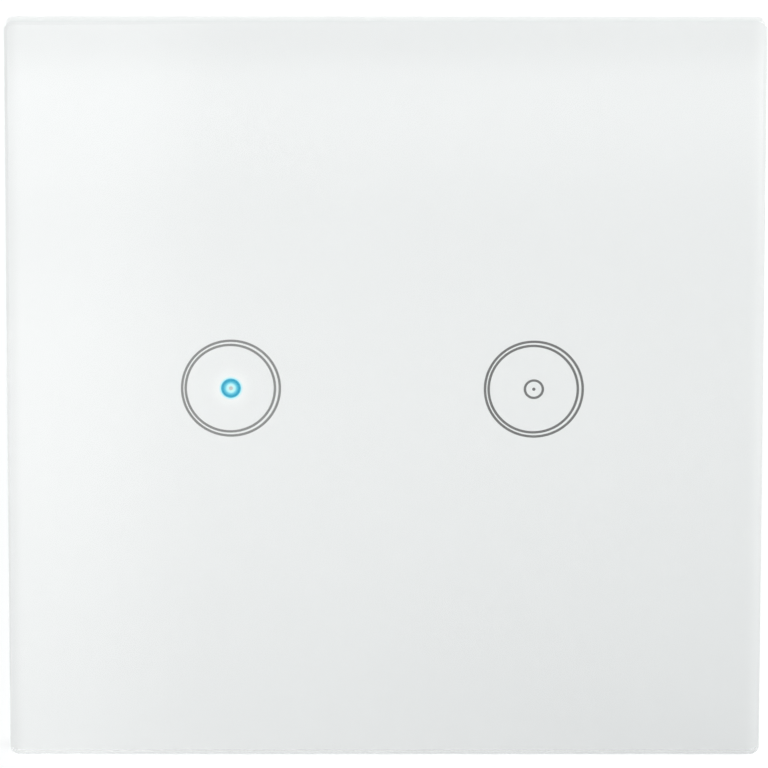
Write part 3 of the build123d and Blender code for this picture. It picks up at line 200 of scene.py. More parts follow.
class Tree:
    """A node tree under construction."""

    def __init__(self, tree: NodeTree) -> None:
        """Keeps the tree that the nodes go into."""
        self.tree = tree

    def node(self, kind: str, sockets: Values = NOTHING, settings: Values = NOTHING) -> Node:
        """Adds one node.

        Args:
            kind: Blender's name of the node type.
            sockets: Values or signals, by the input's identifier or name.
            settings: Attributes, set before the sockets.

        Returns:
            The new node.
        """
        made = self.tree.nodes.new(kind)
        for key, value in settings.items():
            setattr(made, key, value)
        for key, value in sockets.items():
            socket = next((s for s in made.inputs if s.identifier == key), None) or made.inputs[key]
            if isinstance(value, Signal):
                self.tree.links.new(value.socket, socket)
            elif socket.type == "RGBA":
                socket.default_value = (*value, 1.0)
            else:
                socket.default_value = value
        return made

    def signal(self, made: Node, output: str | int = 0) -> "Signal":
        """Takes an output of a node as a signal.

        Args:
            made: The node.
            output: The output's number, name or identifier.

        Returns:
            The output.
        """
        if isinstance(output, int):
            return Signal(self, made.outputs[output])
        named = (s for s in made.outputs if s.enabled and output in (s.identifier, s.name))
        return Signal(self, next(named))

    def result(
        self,
        kind: str,
        sockets: Values = NOTHING,
        settings: Values = NOTHING,
        output: str | int = 0,
    ) -> "Signal":
        """Adds one shader node, whose kind lacks the prefix, and returns one of its outputs."""
        return self.signal(self.node(f"ShaderNode{kind}", sockets, settings), output)

    def split(self, vector: "Signal") -> tuple["Signal", ...]:
        """X, Y and Z of a vector."""
        parts = self.node("ShaderNodeSeparateXYZ", {"Vector": vector})
        return tuple(self.signal(parts, axis) for axis in range(3))

    def mix(self, factor: object, low: object, high: object) -> "Signal":
        """Mixes two colours by a factor."""
        sockets = {"Factor_Float": factor, "A_Color": low, "B_Color": high}
        return self.result("Mix", sockets, {"data_type": "RGBA"}, "Result_Color")

    def rays(self, *kinds: str) -> "Signal":
        """1 on rays of any of these kinds and 0 on the others."""
        paths = self.node("ShaderNodeLightPath")
        return reduce(Signal.at_least, (self.signal(paths, f"Is {kind} Ray") for kind in kinds))


def math_node(operation: str, reflected: bool = False) -> Callable[..., "Signal"]:
    """A method that adds one Math node on a signal and, where it takes one, a second value.

    Args:
        operation: The node's operation.
        reflected: Whether the signal comes second, as the mask does in 1 - mask.

    Returns:
        The method.
    """
    order = ("Value_001", "Value") if reflected else ("Value", "Value_001")

    def add(signal: "Signal", other: object = 0.0) -> "Signal":
        """Adds the Math node."""
        sockets = dict(zip(order, (signal, other)))
        return signal.tree.result("Math", sockets, {"operation": operation})

    return add


class Signal:
    """A value that varies, with arithmetic that adds Math nodes. Comparisons give 1 or 0."""

    def __init__(self, tree: Tree, socket: NodeSocket) -> None:
        """Keeps the socket and the tree that it is in."""
        self.tree = tree
        self.socket = socket

    __add__ = math_node("ADD")
    __radd__ = math_node("ADD", reflected=True)
    __sub__ = math_node("SUBTRACT")
    __rsub__ = math_node("SUBTRACT", reflected=True)
    __mul__ = math_node("MULTIPLY")
    __rmul__ = math_node("MULTIPLY", reflected=True)
    __truediv__ = math_node("DIVIDE")
    __rtruediv__ = math_node("DIVIDE", reflected=True)
    __pow__ = math_node("POWER")
    __rpow__ = math_node("POWER", reflected=True)
    __lt__ = math_node("LESS_THAN")
    __gt__ = math_node("GREATER_THAN")
    __abs__ = math_node("ABSOLUTE")
    floor = math_node("FLOOR")
    fraction = math_node("FRACT")
    at_least = math_node("MAXIMUM")


@dataclass(frozen=True)
class Patches:
    """Soft noise: how wide a patch is, its finer octaves, and a stretch (under 1 draws it out)."""

    size: float
    detail: float = 2.0
    stretch: Point = EVEN


class Graph(Tree):
    """The node tree of a material, with what the finishes share."""

    def __init__(self, tree: NodeTree) -> None:
        """Starts with the piece's own coordinates."""
        super().__init__(tree)
        self.coordinates = self.result("TexCoord", output="Object")

    def noise(self, patches: Patches) -> Signal:
        """Soft noise from 0 to 1.

        Args:
            patches: How wide and how fine it is.

        Returns:
            The noise.
        """
        place = self.result("Mapping", {"Vector": self.coordinates, "Scale": patches.stretch})
        sockets = {"Vector": place, "Scale": 1 / patches.size, "Detail": patches.detail}
        return self.result("TexNoise", sockets, {"normalize": True})

    def cells(self, size: float) -> Signal:
        """Distance to the nearest of scattered cell centres, in cell widths."""
        sockets = {"Vector": self.coordinates, "Scale": 1 / size}
        return self.result("TexVoronoi", sockets, {"feature": "F1"}, "Distance")

    def chance(self, number: Signal) -> Signal:
        """A fixed random value for each number."""
        return self.result("TexWhiteNoise", {"W": number}, {"noise_dimensions": "1D"}, "Value")

    def ramp(self, value: Signal, low: float, high: float) -> Signal:
        """A smooth rise from 0 to 1 between two values."""
        sockets = {"Value": value, "From Min": low, "From Max": high}
        return self.result("MapRange", sockets, {"interpolation_type": "SMOOTHSTEP"}, "Result")

    def shaded(self, colour: Colour, share: float, factor: Signal) -> Signal:
        """A colour that is darker by a share where a factor is 0."""
        return self.mix(factor, dimmed(colour, share), colour)

    def between(self, ends: Span, factor: Signal) -> Signal:
        """A number that a factor carries from one end to the other."""
        return ends[0] + (ends[1] - ends[0]) * factor

    def stops(self, value: Signal, stops: Sequence[tuple[float, Colour]]) -> Signal:
        """Reads a colour off a ramp of places and their colours.

        Args:
            value: Where to read, from 0 to 1.
            stops: The places and their colours, in order.

        Returns:
            The colour.
        """
        made = self.node("ShaderNodeValToRGB", {"Fac": value})
        elements = made.color_ramp.elements
        while len(elements) < len(stops):
            elements.new(1.0)
        for element, (place, colour) in zip(elements, stops):
            element.position = place
            element.color = (*colour, 1.0)
        return self.signal(made, "Color")

    def blend(self, first: Signal, second: Signal, share: float) -> Signal:
        """Two reliefs in one, with the share that the first has in it."""
        return share * first + (1 - share) * second

    def away(self, centre: Point) -> Signal:
        """Distance from a point in the plane of the face.

        Args:
            centre: The point.

        Returns:
            The distance, in metres.
        """
        x, _, z = self.split(self.coordinates)
        out, up = x - centre[0], z - centre[2]
        return (out * out + up * up) ** 0.5

    def bump(self, height: Signal, depth: float) -> Signal:
        """The normal of a relief from 0 to 1 that is so many metres deep."""
        return self.result("Bump", {"Height": height, "Distance": depth})


@dataclass(frozen=True)
class Finish:
    """A surface finish that becomes one material."""

    def inputs(self, graph: Graph) -> dict[str, object]:
        """The inputs of the main shader."""
        raise NotImplementedError

    def surface(self, graph: Graph) -> Signal:
        """The shader of the finish."""
        return graph.result("BsdfPrincipled", self.inputs(graph))

    def material(self, name: str) -> Material:
        """Builds the material under a name.

        Args:
            name: The material's name.

        Returns:
            The material.
        """
        made = bpy.data.materials.new(name)
        graph = Graph(emptied(made))
        graph.node("ShaderNodeOutputMaterial", {"Surface": self.surface(graph)})
        return made


@dataclass(frozen=True)
class ToughGlass(Finish):
    """Clear toughened glass. Lamps and soft light pass it straight, as through a thin pane."""

    colour: Colour = (0.965, 0.99, 0.978)
    edge_colour: Colour = (0.87, 0.94, 0.915)
    edge: Span = (42.9 * MM, 42.99 * MM)
    smear: Patches = Patches(9 * MM, 3)
    smear_shade: float = 0.004
    polish: float = 0.008
    ripple: Patches = Patches(22 * MM)
    ripple_depth: float = 0.0004 * MM

    def inputs(self, graph: Graph) -> dict[str, object]:
        """Evenly polished, and greener at its side faces.

        Args:
            graph: The material's tree.

        Returns:
            The inputs of the main shader.
        """
        smear = graph.noise(self.smear)
        x, _, z = graph.split(graph.coordinates)
        at_edge = graph.ramp(abs(x).at_least(abs(z)), *self.edge)
        clear = graph.shaded(self.colour, self.smear_shade, smear)
        return {
            "Base Color": graph.mix(at_edge, clear, self.edge_colour),
            "Roughness": smear * self.polish,
            "Normal": graph.bump(graph.noise(self.ripple), self.ripple_depth),
            "IOR": GLASS_INDEX,
            "Transmission Weight": 1.0,
        }

    def surface(self, graph: Graph) -> Signal:
        """Real glass to the eye, with straight-through light for shadows.

        Args:
            graph: The material's tree.

        Returns:
            The shader.
        """
        glass = super().surface(graph)
        straight = graph.result("BsdfTransparent")
        sockets = {"Fac": graph.rays("Shadow", "Diffuse"), "Shader": glass, "Shader_001": straight}
        return graph.result("MixShader", sockets)


@dataclass(frozen=True)
class BackPrint(Finish):
    """White enamel printed on the back of the glass, which a lamp behind it makes glow; the glow is
    painted as emission of the print.
    """

    lamp: Point
    colour: Colour = tone(235, 235, 236)
    mottle: Patches = Patches(1.6 * MM, 3)
    mottle_shade: float = 0.008
    roughness: Span = (0.5, 0.6)
    # Painted glow of the lamp behind the lit mark, emitted by the print itself.
    glow: Colour = (0.9, 1.0, 0.94)
    glow_reach: float = 2.9 * MM
    glow_strength: float = 0.06
    # Painted spill of the lamp's blue light on the print, in a ring just outside the lit window.
    spill: Colour = tone(150, 228, 240)
    spill_edge: Span = (1.1 * MM, 1.42 * MM)
    side: float = 42.9 * MM
    side_reach: float = 1.7 * MM
    # Painted shade along the left edge and painted light along the right edge, where the bevel
    # turns light away and towards.
    left_shade: float = 0.09
    right_shade: float = -0.06

    def inputs(self, graph: Graph) -> dict[str, object]:
        """Even enamel with a faint mottle, a painted glow round the lit mark and a painted blue
        spill of the lamp's light at the window's edge.

        Painted shade darkens the left edge and painted light brightens the right edge, where the
        bevel turns light away from the left edge and towards the right one.

        Args:
            graph: The material's tree.

        Returns:
            The inputs of the main shader.
        """
        mottle = graph.noise(self.mottle)
        x, _, _ = graph.split(graph.coordinates)
        # Painted shade at the left edge and painted light at the right edge go into the enamel
        # colour.
        left = 1 - graph.ramp(x, -self.side, self.side_reach - self.side)
        right = graph.ramp(x, self.side - self.side_reach, self.side)
        enamel = graph.shaded(self.colour, self.mottle_shade, mottle)
        enamel = graph.mix(left, enamel, dimmed(self.colour, self.left_shade))
        enamel = graph.mix(right, enamel, dimmed(self.colour, self.right_shade))
        away = graph.away(self.lamp)
        painted_glow_fade = 1 - graph.ramp(away, self.spill_edge[0], self.glow_reach)
        return {
            # Base Color holds the painted blue spill of the lamp's light round the lit window.
            "Base Color": graph.mix(graph.ramp(away, *self.spill_edge), self.spill, enamel),
            "Roughness": graph.between(self.roughness, mottle),
            # Painted glow: the print emits the lamp's light round the lit mark.
            "Emission Color": graph.mix(painted_glow_fade, BLACK, self.glow),
            "Emission Strength": self.glow_strength,
            "Specular IOR Level": PRINT_GLOSS,
        }


@dataclass(frozen=True)
class MarkInk(Finish):
    """Grey screen ink of the touch marks and of the lettering on the back."""

    colour: Colour
    pull: Patches = Patches(0.5 * MM)
    shade: float = 0.12
    roughness: Span = (0.45, 0.6)

    def inputs(self, graph: Graph) -> dict[str, object]:
        """Slightly uneven, with hardly any gloss.

        Args:
            graph: The material's tree.

        Returns:
            The inputs of the main shader.
        """
        pull = graph.noise(self.pull)
        return {
            "Base Color": graph.shaded(self.colour, self.shade, pull),
            "Roughness": graph.between(self.roughness, pull),
            "Specular IOR Level": PRINT_GLOSS,
        }


@dataclass(frozen=True)
class LitWindow(Finish):
    """Tinted window of a touch mark with the lamp on behind it."""

    centre: Point
    reach: float = 1.13 * MM
    stops: tuple[tuple[float, Colour], ...] = (
        (0.26, behind_glass(209, 244, 242)),
        (0.40, behind_glass(190, 247, 252)),
        (0.60, behind_glass(104, 206, 230)),
        (0.79, behind_glass(58, 164, 198)),
        (0.90, behind_glass(58, 164, 198)),
        (1.0, behind_glass(110, 204, 228)),
    )
    grain: Patches = Patches(0.35 * MM)
    uneven: float = 0.03
    roughness: float = 0.5

    def inputs(self, graph: Graph) -> dict[str, object]:
        """Light that is bluest in the ring and pales towards the middle and round it.

        Args:
            graph: The material's tree.

        Returns:
            The inputs of the main shader.
        """
        place = graph.away(self.centre) / self.reach + (graph.noise(self.grain) - 0.5) * self.uneven
        return {
            "Base Color": BLACK,
            "Emission Color": graph.stops(place, self.stops),
            "Emission Strength": 1.0,
            "Roughness": self.roughness,
            "Specular IOR Level": PRINT_GLOSS,
        }


@dataclass(frozen=True)
class MouldedPlastic(Finish):
    """Moulded plastic: spark-eroded grain, faint flow marks and slight rubbing."""

    colour: Colour
    roughness: float = 0.42
    grain: float = 0.22 * MM
    depth: float = 0.012 * MM
    flow: Patches = Patches(7 * MM, 3)
    flow_shade: float = 0.035
    rubbing: Patches = Patches(3 * MM, 4)
    rubbed_from: Span = (0.5, 0.8)
    grain_gloss: float = 0.16
    rubbed_gloss: float = 0.06

    def inputs(self, graph: Graph) -> dict[str, object]:
        """Grain in the relief, flow marks in the colour and rubbing in the gloss.

        Args:
            graph: The material's tree.

        Returns:
            The inputs of the main shader.
        """
        grain = graph.noise(Patches(self.grain))
        rubbed = graph.ramp(graph.noise(self.rubbing), *self.rubbed_from)
        gloss = (grain - 0.5) * self.grain_gloss - rubbed * self.rubbed_gloss
        return {
            "Base Color": graph.shaded(self.colour, self.flow_shade, graph.noise(self.flow)),
            "Roughness": self.roughness + gloss,
            "Normal": graph.bump(grain, self.depth),
            "IOR": GLASS_INDEX,
        }


@dataclass(frozen=True)
class ClearPlastic(Finish):
    """Clear acrylic of the light guides."""

    colour: Colour = (0.97, 0.985, 0.99)
    ripple: Patches = Patches(0.9 * MM)
    depth: float = 0.01 * MM
    shade: float = 0.02
    roughness: Span = (0.04, 0.09)
    index: float = 1.49
    clear: float = 0.9

    def inputs(self, graph: Graph) -> dict[str, object]:
        """Clear, with slight moulding ripples.

        Args:
            graph: The material's tree.

        Returns:
            The inputs of the main shader.
        """
        ripple = graph.noise(self.ripple)
        return {
            "Base Color": graph.shaded(self.colour, self.shade, ripple),
            "Roughness": graph.between(self.roughness, ripple),
            "Normal": graph.bump(ripple, self.depth),
            "IOR": self.index,
            "Transmission Weight": self.clear,
        }


@dataclass(frozen=True)
class Metal(Finish):
    """Bare or plated metal with drawn lines, cloudy patches and small pits."""

    colour: Colour
    roughness: float = 0.3
    draw: Point = (0.05, 1.0, 1.0)
    cloud: float = 0.1
    line: float = 0.12 * MM
    depth: float = 0.004 * MM
    clouds: Patches = Patches(2.6 * MM, 4)
    pit: float = 0.7 * MM
    pit_reach: float = 0.12
    pit_share: float = 0.2
    line_gloss: float = 0.16
    cloud_gloss: float = 0.12

    def inputs(self, graph: Graph) -> dict[str, object]:
        """Lines along the way that the metal was drawn, over a cloudy plating.

        Args:
            graph: The material's tree.

        Returns:
            The inputs of the main shader.
        """
        lines = graph.noise(Patches(self.line, 3, self.draw))
        cloud = graph.noise(self.clouds)
        pits = graph.ramp(graph.cells(self.pit), 0.0, self.pit_reach)
        gloss = (lines - 0.5) * self.line_gloss + (cloud - 0.5) * self.cloud_gloss
        return {
            "Base Color": graph.shaded(self.colour, self.cloud, cloud),
            "Metallic": 1.0,
            "Roughness": self.roughness + gloss,
            "Normal": graph.bump(graph.blend(pits, lines, self.pit_share), self.depth),
        }


@dataclass(frozen=True)
class Laminate(Finish):
    """Glass-fibre board under solder mask, with copper tracks and tinned holes in its X-Z plane.

    The seeds and steps are what the chance of each run and hole is drawn from.
    """

    mask: Colour
    track: Colour
    pitch: float = 0.9 * MM
    run: float = 6.5 * MM
    run_scatter: float = 3.0
    untracked: float = 0.48
    track_half: float = 0.17
    track_seeds: Span = (11.0, 47.0)
    track_steps: Span = (7.31, 3.77)
    hole_pitch: float = 1.9 * MM
    undrilled: float = 0.86
    hole_seed: float = 3.0
    hole_steps: Span = (5.17, 9.73)
    ring_radius: float = 0.32 * MM
    hole_radius: float = 0.14 * MM
    # Painted shade inside each drilled hole.
    hole_colour: Colour = (0.01, 0.01, 0.01)
    plating: Colour = tone(214, 205, 178)
    weave: Patches = Patches(0.3 * MM)
    weave_shade: float = 0.15
    weave_depth: float = 0.12
    weave_gloss: float = 0.08
    track_gloss: float = 0.04
    roughness: float = 0.34
    depth: float = 0.03 * MM

    def _tracks(self, graph: Graph, along: Signal, across: Signal, seed: float) -> Signal:
        """Straight tracks of uneven length that run along one axis.

        Args:
            graph: The material's tree.
            along: Coordinate along the tracks.
            across: Coordinate across them.
            seed: Sets which runs carry a track.

        Returns:
            1 on a track and 0 beside it.
        """
        lane = (across / self.pitch).floor()
        run = (along / self.run + graph.chance(lane + seed) * self.run_scatter).floor()
        lane_step, run_step = self.track_steps
        laid = graph.chance(lane * lane_step + run * run_step + seed) > self.untracked
        return laid * (abs((across / self.pitch).fraction() - 0.5) < self.track_half)

    def inputs(self, graph: Graph) -> dict[str, object]:
        """Mask, tracks that stand slightly proud, and tinned rings round drilled holes, whose dark
        insides are painted shade.

        Args:
            graph: The material's tree.

        Returns:
            The inputs of the main shader.
        """
        x, _, z = graph.split(graph.coordinates)
        along_x, along_z = self.track_seeds
        tracks = self._tracks(graph, x, z, along_x).at_least(self._tracks(graph, z, x, along_z))
        column, row = (place / self.hole_pitch for place in (x, z))
        column_step, row_step = self.hole_steps
        draw = graph.chance(column.floor() * column_step + row.floor() * row_step + self.hole_seed)
        off_x, off_z = (place.fraction() - 0.5 for place in (column, row))
        away = (off_x * off_x + off_z * off_z) ** 0.5 * self.hole_pitch
        drilled = draw > self.undrilled
        ring = drilled * (away < self.ring_radius)
        hole = drilled * (away < self.hole_radius)
        weave = graph.noise(self.weave)
        tracked = graph.mix(tracks, graph.shaded(self.mask, self.weave_shade, weave), self.track)
        relief = tracks.at_least(ring) - hole * 2 + weave * self.weave_depth
        return {
            # Drilled holes get painted shade as their colour.
            "Base Color": graph.mix(hole, graph.mix(ring, tracked, self.plating), self.hole_colour),
            "Metallic": (ring - hole).at_least(0.0),
            "Roughness": self.roughness + weave * self.weave_gloss - tracks * self.track_gloss,
            "Normal": graph.bump(relief, self.depth),
            "IOR": GLASS_INDEX,
        }


@dataclass(frozen=True)
class Fired(Finish):
    """Fired or pressed ceramic such as ferrite: matt, speckled and slightly chipped."""

    colour: Colour = tone(52, 52, 55)
    speck_colour: Colour = tone(96, 96, 100)
    speck: Patches = Patches(0.16 * MM, 3)
    specks_from: Span = (0.6, 0.75)
    chip: float = 0.9 * MM
    chip_reach: float = 0.3
    chip_share: float = 0.6
    depth: float = 0.012 * MM
    roughness: Span = (0.62, 0.74)

    def inputs(self, graph: Graph) -> dict[str, object]:
        """Matt body with light specks and shallow chips.

        Args:
            graph: The material's tree.

        Returns:
            The inputs of the main shader.
        """
        specks = graph.ramp(graph.noise(self.speck), *self.specks_from)
        chips = graph.ramp(graph.cells(self.chip), 0.0, self.chip_reach)
        return {
            "Base Color": graph.mix(specks, self.colour, self.speck_colour),
            "Roughness": graph.between(self.roughness, specks),
            "Normal": graph.bump(graph.blend(chips, specks, self.chip_share), self.depth),
        }


@dataclass(frozen=True)
class Dipped(Finish):
    """Glossy dipped or sleeved coat with an orange-peel surface."""

    colour: Colour
    peel: Patches = Patches(0.8 * MM)
    depth: float = 0.02 * MM
    shade: float = 0.12
    roughness: Span = (0.22, 0.34)
    lacquer: Span = (0.3, 0.5)
    lacquer_roughness: float = 0.12

    def inputs(self, graph: Graph) -> dict[str, object]:
        """Slow waves in a glossy coat.

        Args:
            graph: The material's tree.

        Returns:
            The inputs of the main shader.
        """
        peel = graph.noise(self.peel)
        return {
            "Base Color": graph.shaded(self.colour, self.shade, peel),
            "Roughness": graph.between(self.roughness, peel),
            "Normal": graph.bump(peel, self.depth),
            "Coat Weight": graph.between(self.lacquer, peel),
            "Coat Roughness": self.lacquer_roughness,
        }


@dataclass(frozen=True)
class WoundTape(Finish):
    """Polyester tape in lapped turns round the coil."""

    colour: Colour = tone(222, 178, 62)
    lap: float = 1.3 * MM
    # Painted shade across each lap of tape.
    lap_shade: float = 0.2
    lap_share: float = 0.6
    crease: Patches = Patches(0.5 * MM, 3, (0.2, 0.2, 1.0))
    roughness: Span = (0.28, 0.42)
    depth: float = 0.05 * MM
    lacquer: Span = (0.3, 0.4)

    def inputs(self, graph: Graph) -> dict[str, object]:
        """Tape whose laps catch the light, with painted shade that darkens the bottom of each lap,
        and creases between them.

        Args:
            graph: The material's tree.

        Returns:
            The inputs of the main shader.
        """
        _, _, z = graph.split(graph.coordinates)
        lap = (z / self.lap).fraction()
        crease = graph.noise(self.crease)
        return {
            # Painted shade: each lap is darker at its bottom and lighter towards its top.
            "Base Color": graph.shaded(self.colour, self.lap_shade, lap),
            "Roughness": graph.between(self.roughness, crease),
            "Normal": graph.bump(graph.blend(lap, crease, self.lap_share), self.depth),
            "Coat Weight": graph.between(self.lacquer, crease),
        }


# The lit mark's inks are painted lighter than the unlit ink: painted light from the lamp behind
# them.
PAINTED_LIT_INK = tone(138, 138, 138)
DARK_INK = tone(115, 115, 115)
PAINTED_LIT_DOT_INK = tone(200, 202, 202)
MARK_GREY = tone(92, 94, 96)
GREY_STEEL = tone(206, 208, 210)
MASK_GREEN = tone(18, 92, 58)
LABEL_FILM = MouldedPlastic(tone(241, 242, 243), roughness=0.3, grain=0.6 * MM)

FINISHES: dict[Slot, Finish] = {
    Slot.GLASS: ToughGlass(),
    Slot.ADHESIVE: MouldedPlastic(tone(238, 238, 233), roughness=0.8, grain=0.12 * MM),
    Slot.FRAME: MouldedPlastic(tone(236, 237, 236), roughness=0.36),
    Slot.CLEAR: ClearPlastic(),
    Slot.BLACK: MouldedPlastic(tone(38, 38, 40), roughness=0.5),
    Slot.SPRING: Metal(GREY_STEEL, roughness=0.22),
    Slot.CONTROL_LAMINATE: Laminate(MASK_GREEN, tone(30, 120, 76)),
    Slot.SMALL_SCREW: Metal(tone(190, 192, 196), roughness=0.26, draw=EVEN),
    Slot.LAMP: Dipped(tone(238, 226, 150), depth=0.004 * MM),
    Slot.WIRELESS_LAMINATE: Laminate(tone(24, 34, 52), tone(36, 50, 74), 0.6 * MM, 3.0 * MM),
    Slot.SHIELD: Metal(tone(214, 214, 210), roughness=0.24),
    Slot.CHIP: MouldedPlastic(tone(48, 48, 50), roughness=0.55, grain=0.08 * MM),
    Slot.GOLD: Metal(tone(232, 198, 112), roughness=0.18, draw=(1.0, 0.1, 1.0)),
    Slot.PLATE: Metal(GREY_STEEL, roughness=0.44, cloud=0.14),
    Slot.PLATE_SCREW: Metal(tone(202, 196, 176), draw=EVEN),
    Slot.INNER: MouldedPlastic(tone(228, 228, 224), roughness=0.45),
    Slot.HOUSING: MouldedPlastic(tone(232, 232, 228), 0.46, grain=0.3 * MM, depth=0.02 * MM),
    Slot.POWER_LAMINATE: Laminate(tone(26, 96, 52), tone(44, 124, 70), 1.6 * MM, 9.0 * MM),
    Slot.TERMINAL: MouldedPlastic(tone(70, 122, 88), roughness=0.4),
    Slot.TINNED: Metal(tone(222, 218, 204), roughness=0.28),
    Slot.RELAY_IRON: Metal(tone(196, 196, 194), roughness=0.36),
    Slot.BRONZE: Metal(tone(214, 164, 104), roughness=0.26),
    Slot.FERRITE: Fired(),
    Slot.TAPE: WoundTape(),
    Slot.SLEEVE: Dipped(tone(38, 44, 62)),
    Slot.FILM_BOX: MouldedPlastic(tone(226, 186, 74), roughness=0.35),
    Slot.FUSE: MouldedPlastic(tone(96, 66, 48), roughness=0.38),
    Slot.VARISTOR: Dipped(tone(40, 92, 168)),
    Slot.TERMINAL_SCREW: Metal(tone(212, 212, 208), roughness=0.24, draw=EVEN),
    Slot.CLAMP: Metal(tone(208, 208, 204), roughness=0.32),
    Slot.RELAY_BASE: MouldedPlastic(tone(56, 56, 58), roughness=0.5),
    Slot.RELAY_CASE: MouldedPlastic(tone(44, 92, 158), roughness=0.36),
    Slot.BOBBIN: MouldedPlastic(tone(222, 222, 214), roughness=0.4),
    Slot.COPPER: Metal(tone(214, 128, 84), roughness=0.24, draw=EVEN),
}


@cache
def paint(slot: Slot) -> Material:
    """The material of a slot, made when first asked for."""
    return FINISHES[slot].material(slot)


class Recipe(Tree):
    """A geometry tree with named sizes, which ends in plain painted faces."""

    def __init__(self, name: str) -> None:
        """Starts with the points that a piece may pass in, and the finish.

        Args:
            name: Name of the tree.
        """
        super().__init__(bpy.data.node_groups.new(name, "GeometryNodeTree"))
        self._source = self.tree.nodes.new("NodeGroupInput")
        self._points = self._given("Points", "Geometry")
        self._finish = self._given("Finish", "Material")
        kind = "NodeSocketGeometry"
        self.tree.interface.new_socket("Geometry", in_out="OUTPUT", socket_type=kind)

    def _given(self, name: str, kind: str) -> Signal:
        """Adds a named input and returns it."""
        self.tree.interface.new_socket(name, in_out="INPUT", socket_type=f"NodeSocket{kind}")
        return Signal(self, self._source.outputs[name])

    def sizes(self, *names: str) -> list[Signal]:
        """Adds named numbers and returns them."""
        return [self._given(name, "Float") for name in names]

    def place(self, name: str) -> Signal:
        """Adds a named vector and returns it."""
        return self._given(name, "Vector")

    def geometry(self, kind: str, sockets: Values = NOTHING, settings: Values = NOTHING) -> Signal:
        """Adds one geometry node, whose kind lacks the prefix, and returns its first output."""
        return self.signal(self.node(f"GeometryNode{kind}", sockets, settings))

    def joined(self, parts: Iterable[Signal]) -> Signal:
        """Joins several geometries.

        Args:
            parts: The geometries.

        Returns:
            All of them in one.
        """
        join = self.tree.nodes.new("GeometryNodeJoinGeometry")
        for part in parts:
            self.tree.links.new(part.socket, join.inputs[0])
        return Signal(self, join.outputs[0])

    def vector(self, x: object = 0.0, y: object = 0.0, z: object = 0.0) -> Signal:
        """Three numbers as one vector."""
        return self.result("CombineXYZ", {"X": x, "Y": y, "Z": z})

    def moved(self, shape: Signal, by: object = ORIGIN, turn: object = ORIGIN) -> Signal:
        """A shape turned about the origin and then moved."""
        return self.geometry("Transform", {"Geometry": shape, "Translation": by, "Rotation": turn})

    def section(self, width: Signal, height: Signal) -> Signal:
        """A rectangle to draw along a path."""
        sockets = {"Width": width, "Height": height}
        return self.geometry("CurvePrimitiveQuadrilateral", sockets)

    def swept(self, path: Signal, section: Signal) -> Signal:
        """A closed solid drawn along a path."""
        sockets = {"Curve": path, "Profile Curve": section, "Fill Caps": True}
        return self.geometry("CurveToMesh", sockets)

    def coil(
        self, radius: Signal, height: Signal, turns: Signal, wire: Signal, steps: int, sides: int
    ) -> Signal:
        """A closed coil about Z.

        Args:
            radius: Its radius, to the middle of the wire.
            height: Its height, likewise.
            turns: How often it goes round.
            wire: Radius of the wire.
            steps: How many steps a turn has.
            sides: How many sides the wire has.

        Returns:
            The coil.
        """
        ends = {"Start Radius": radius, "End Radius": radius, "Height": height}
        path = self.geometry("CurveSpiral", ends | {"Rotations": turns, "Resolution": steps})
        section = self.geometry("CurvePrimitiveCircle", {"Resolution": sides, "Radius": wire})
        return self.swept(path, section)

    def on_points(self, shape: Signal, turn: Signal) -> Signal:
        """A copy of a shape on each point that the piece passes in."""
        sockets = {"Points": self._points, "Instance": shape, "Rotation": turn}
        return self.geometry("InstanceOnPoints", sockets)

    def done(self, geometry: Signal) -> "Recipe":
        """Ends the tree: instances made real, one finish on every face.

        Args:
            geometry: What the tree has made.

        Returns:
            The recipe, ready to run.
        """
        real = self.geometry("RealizeInstances", {"Geometry": geometry})
        painted = self.geometry("SetMaterial", {"Geometry": real, "Material": self._finish})
        self.node("NodeGroupOutput", {"Geometry": painted})
        return self

    def piece(
        self, name: str, material: Material, sizes: Values, points: Sequence[Point] = ()
    ) -> Object:
        """Runs the tree once and keeps its result as a plain mesh.

        Args:
            name: Name of the piece.
            material: Its finish.
            sizes: Values of the named inputs.
            points: Places for trees that put a shape on each point.

        Returns:
            The piece.
        """
        seeds = bpy.data.meshes.new(f"{name}_points")
        seeds.from_pydata(points, [], [])
        made = put_in_scene(name, seeds)
        modifier = made.modifiers.new("recipe", "NODES")
        modifier.node_group = self.tree
        values = {"Finish": material} | dict(sizes)
        for item in self.tree.interface.items_tree:
            if item.in_out == "INPUT" and item.name in values:
                modifier[item.identifier] = values[item.name]
        made.update_tag()
        mesh = mesh_of(made)
        made.modifiers.remove(modifier)
        made.data = mesh
        mesh.name = name
        smoothed(mesh)
        return made


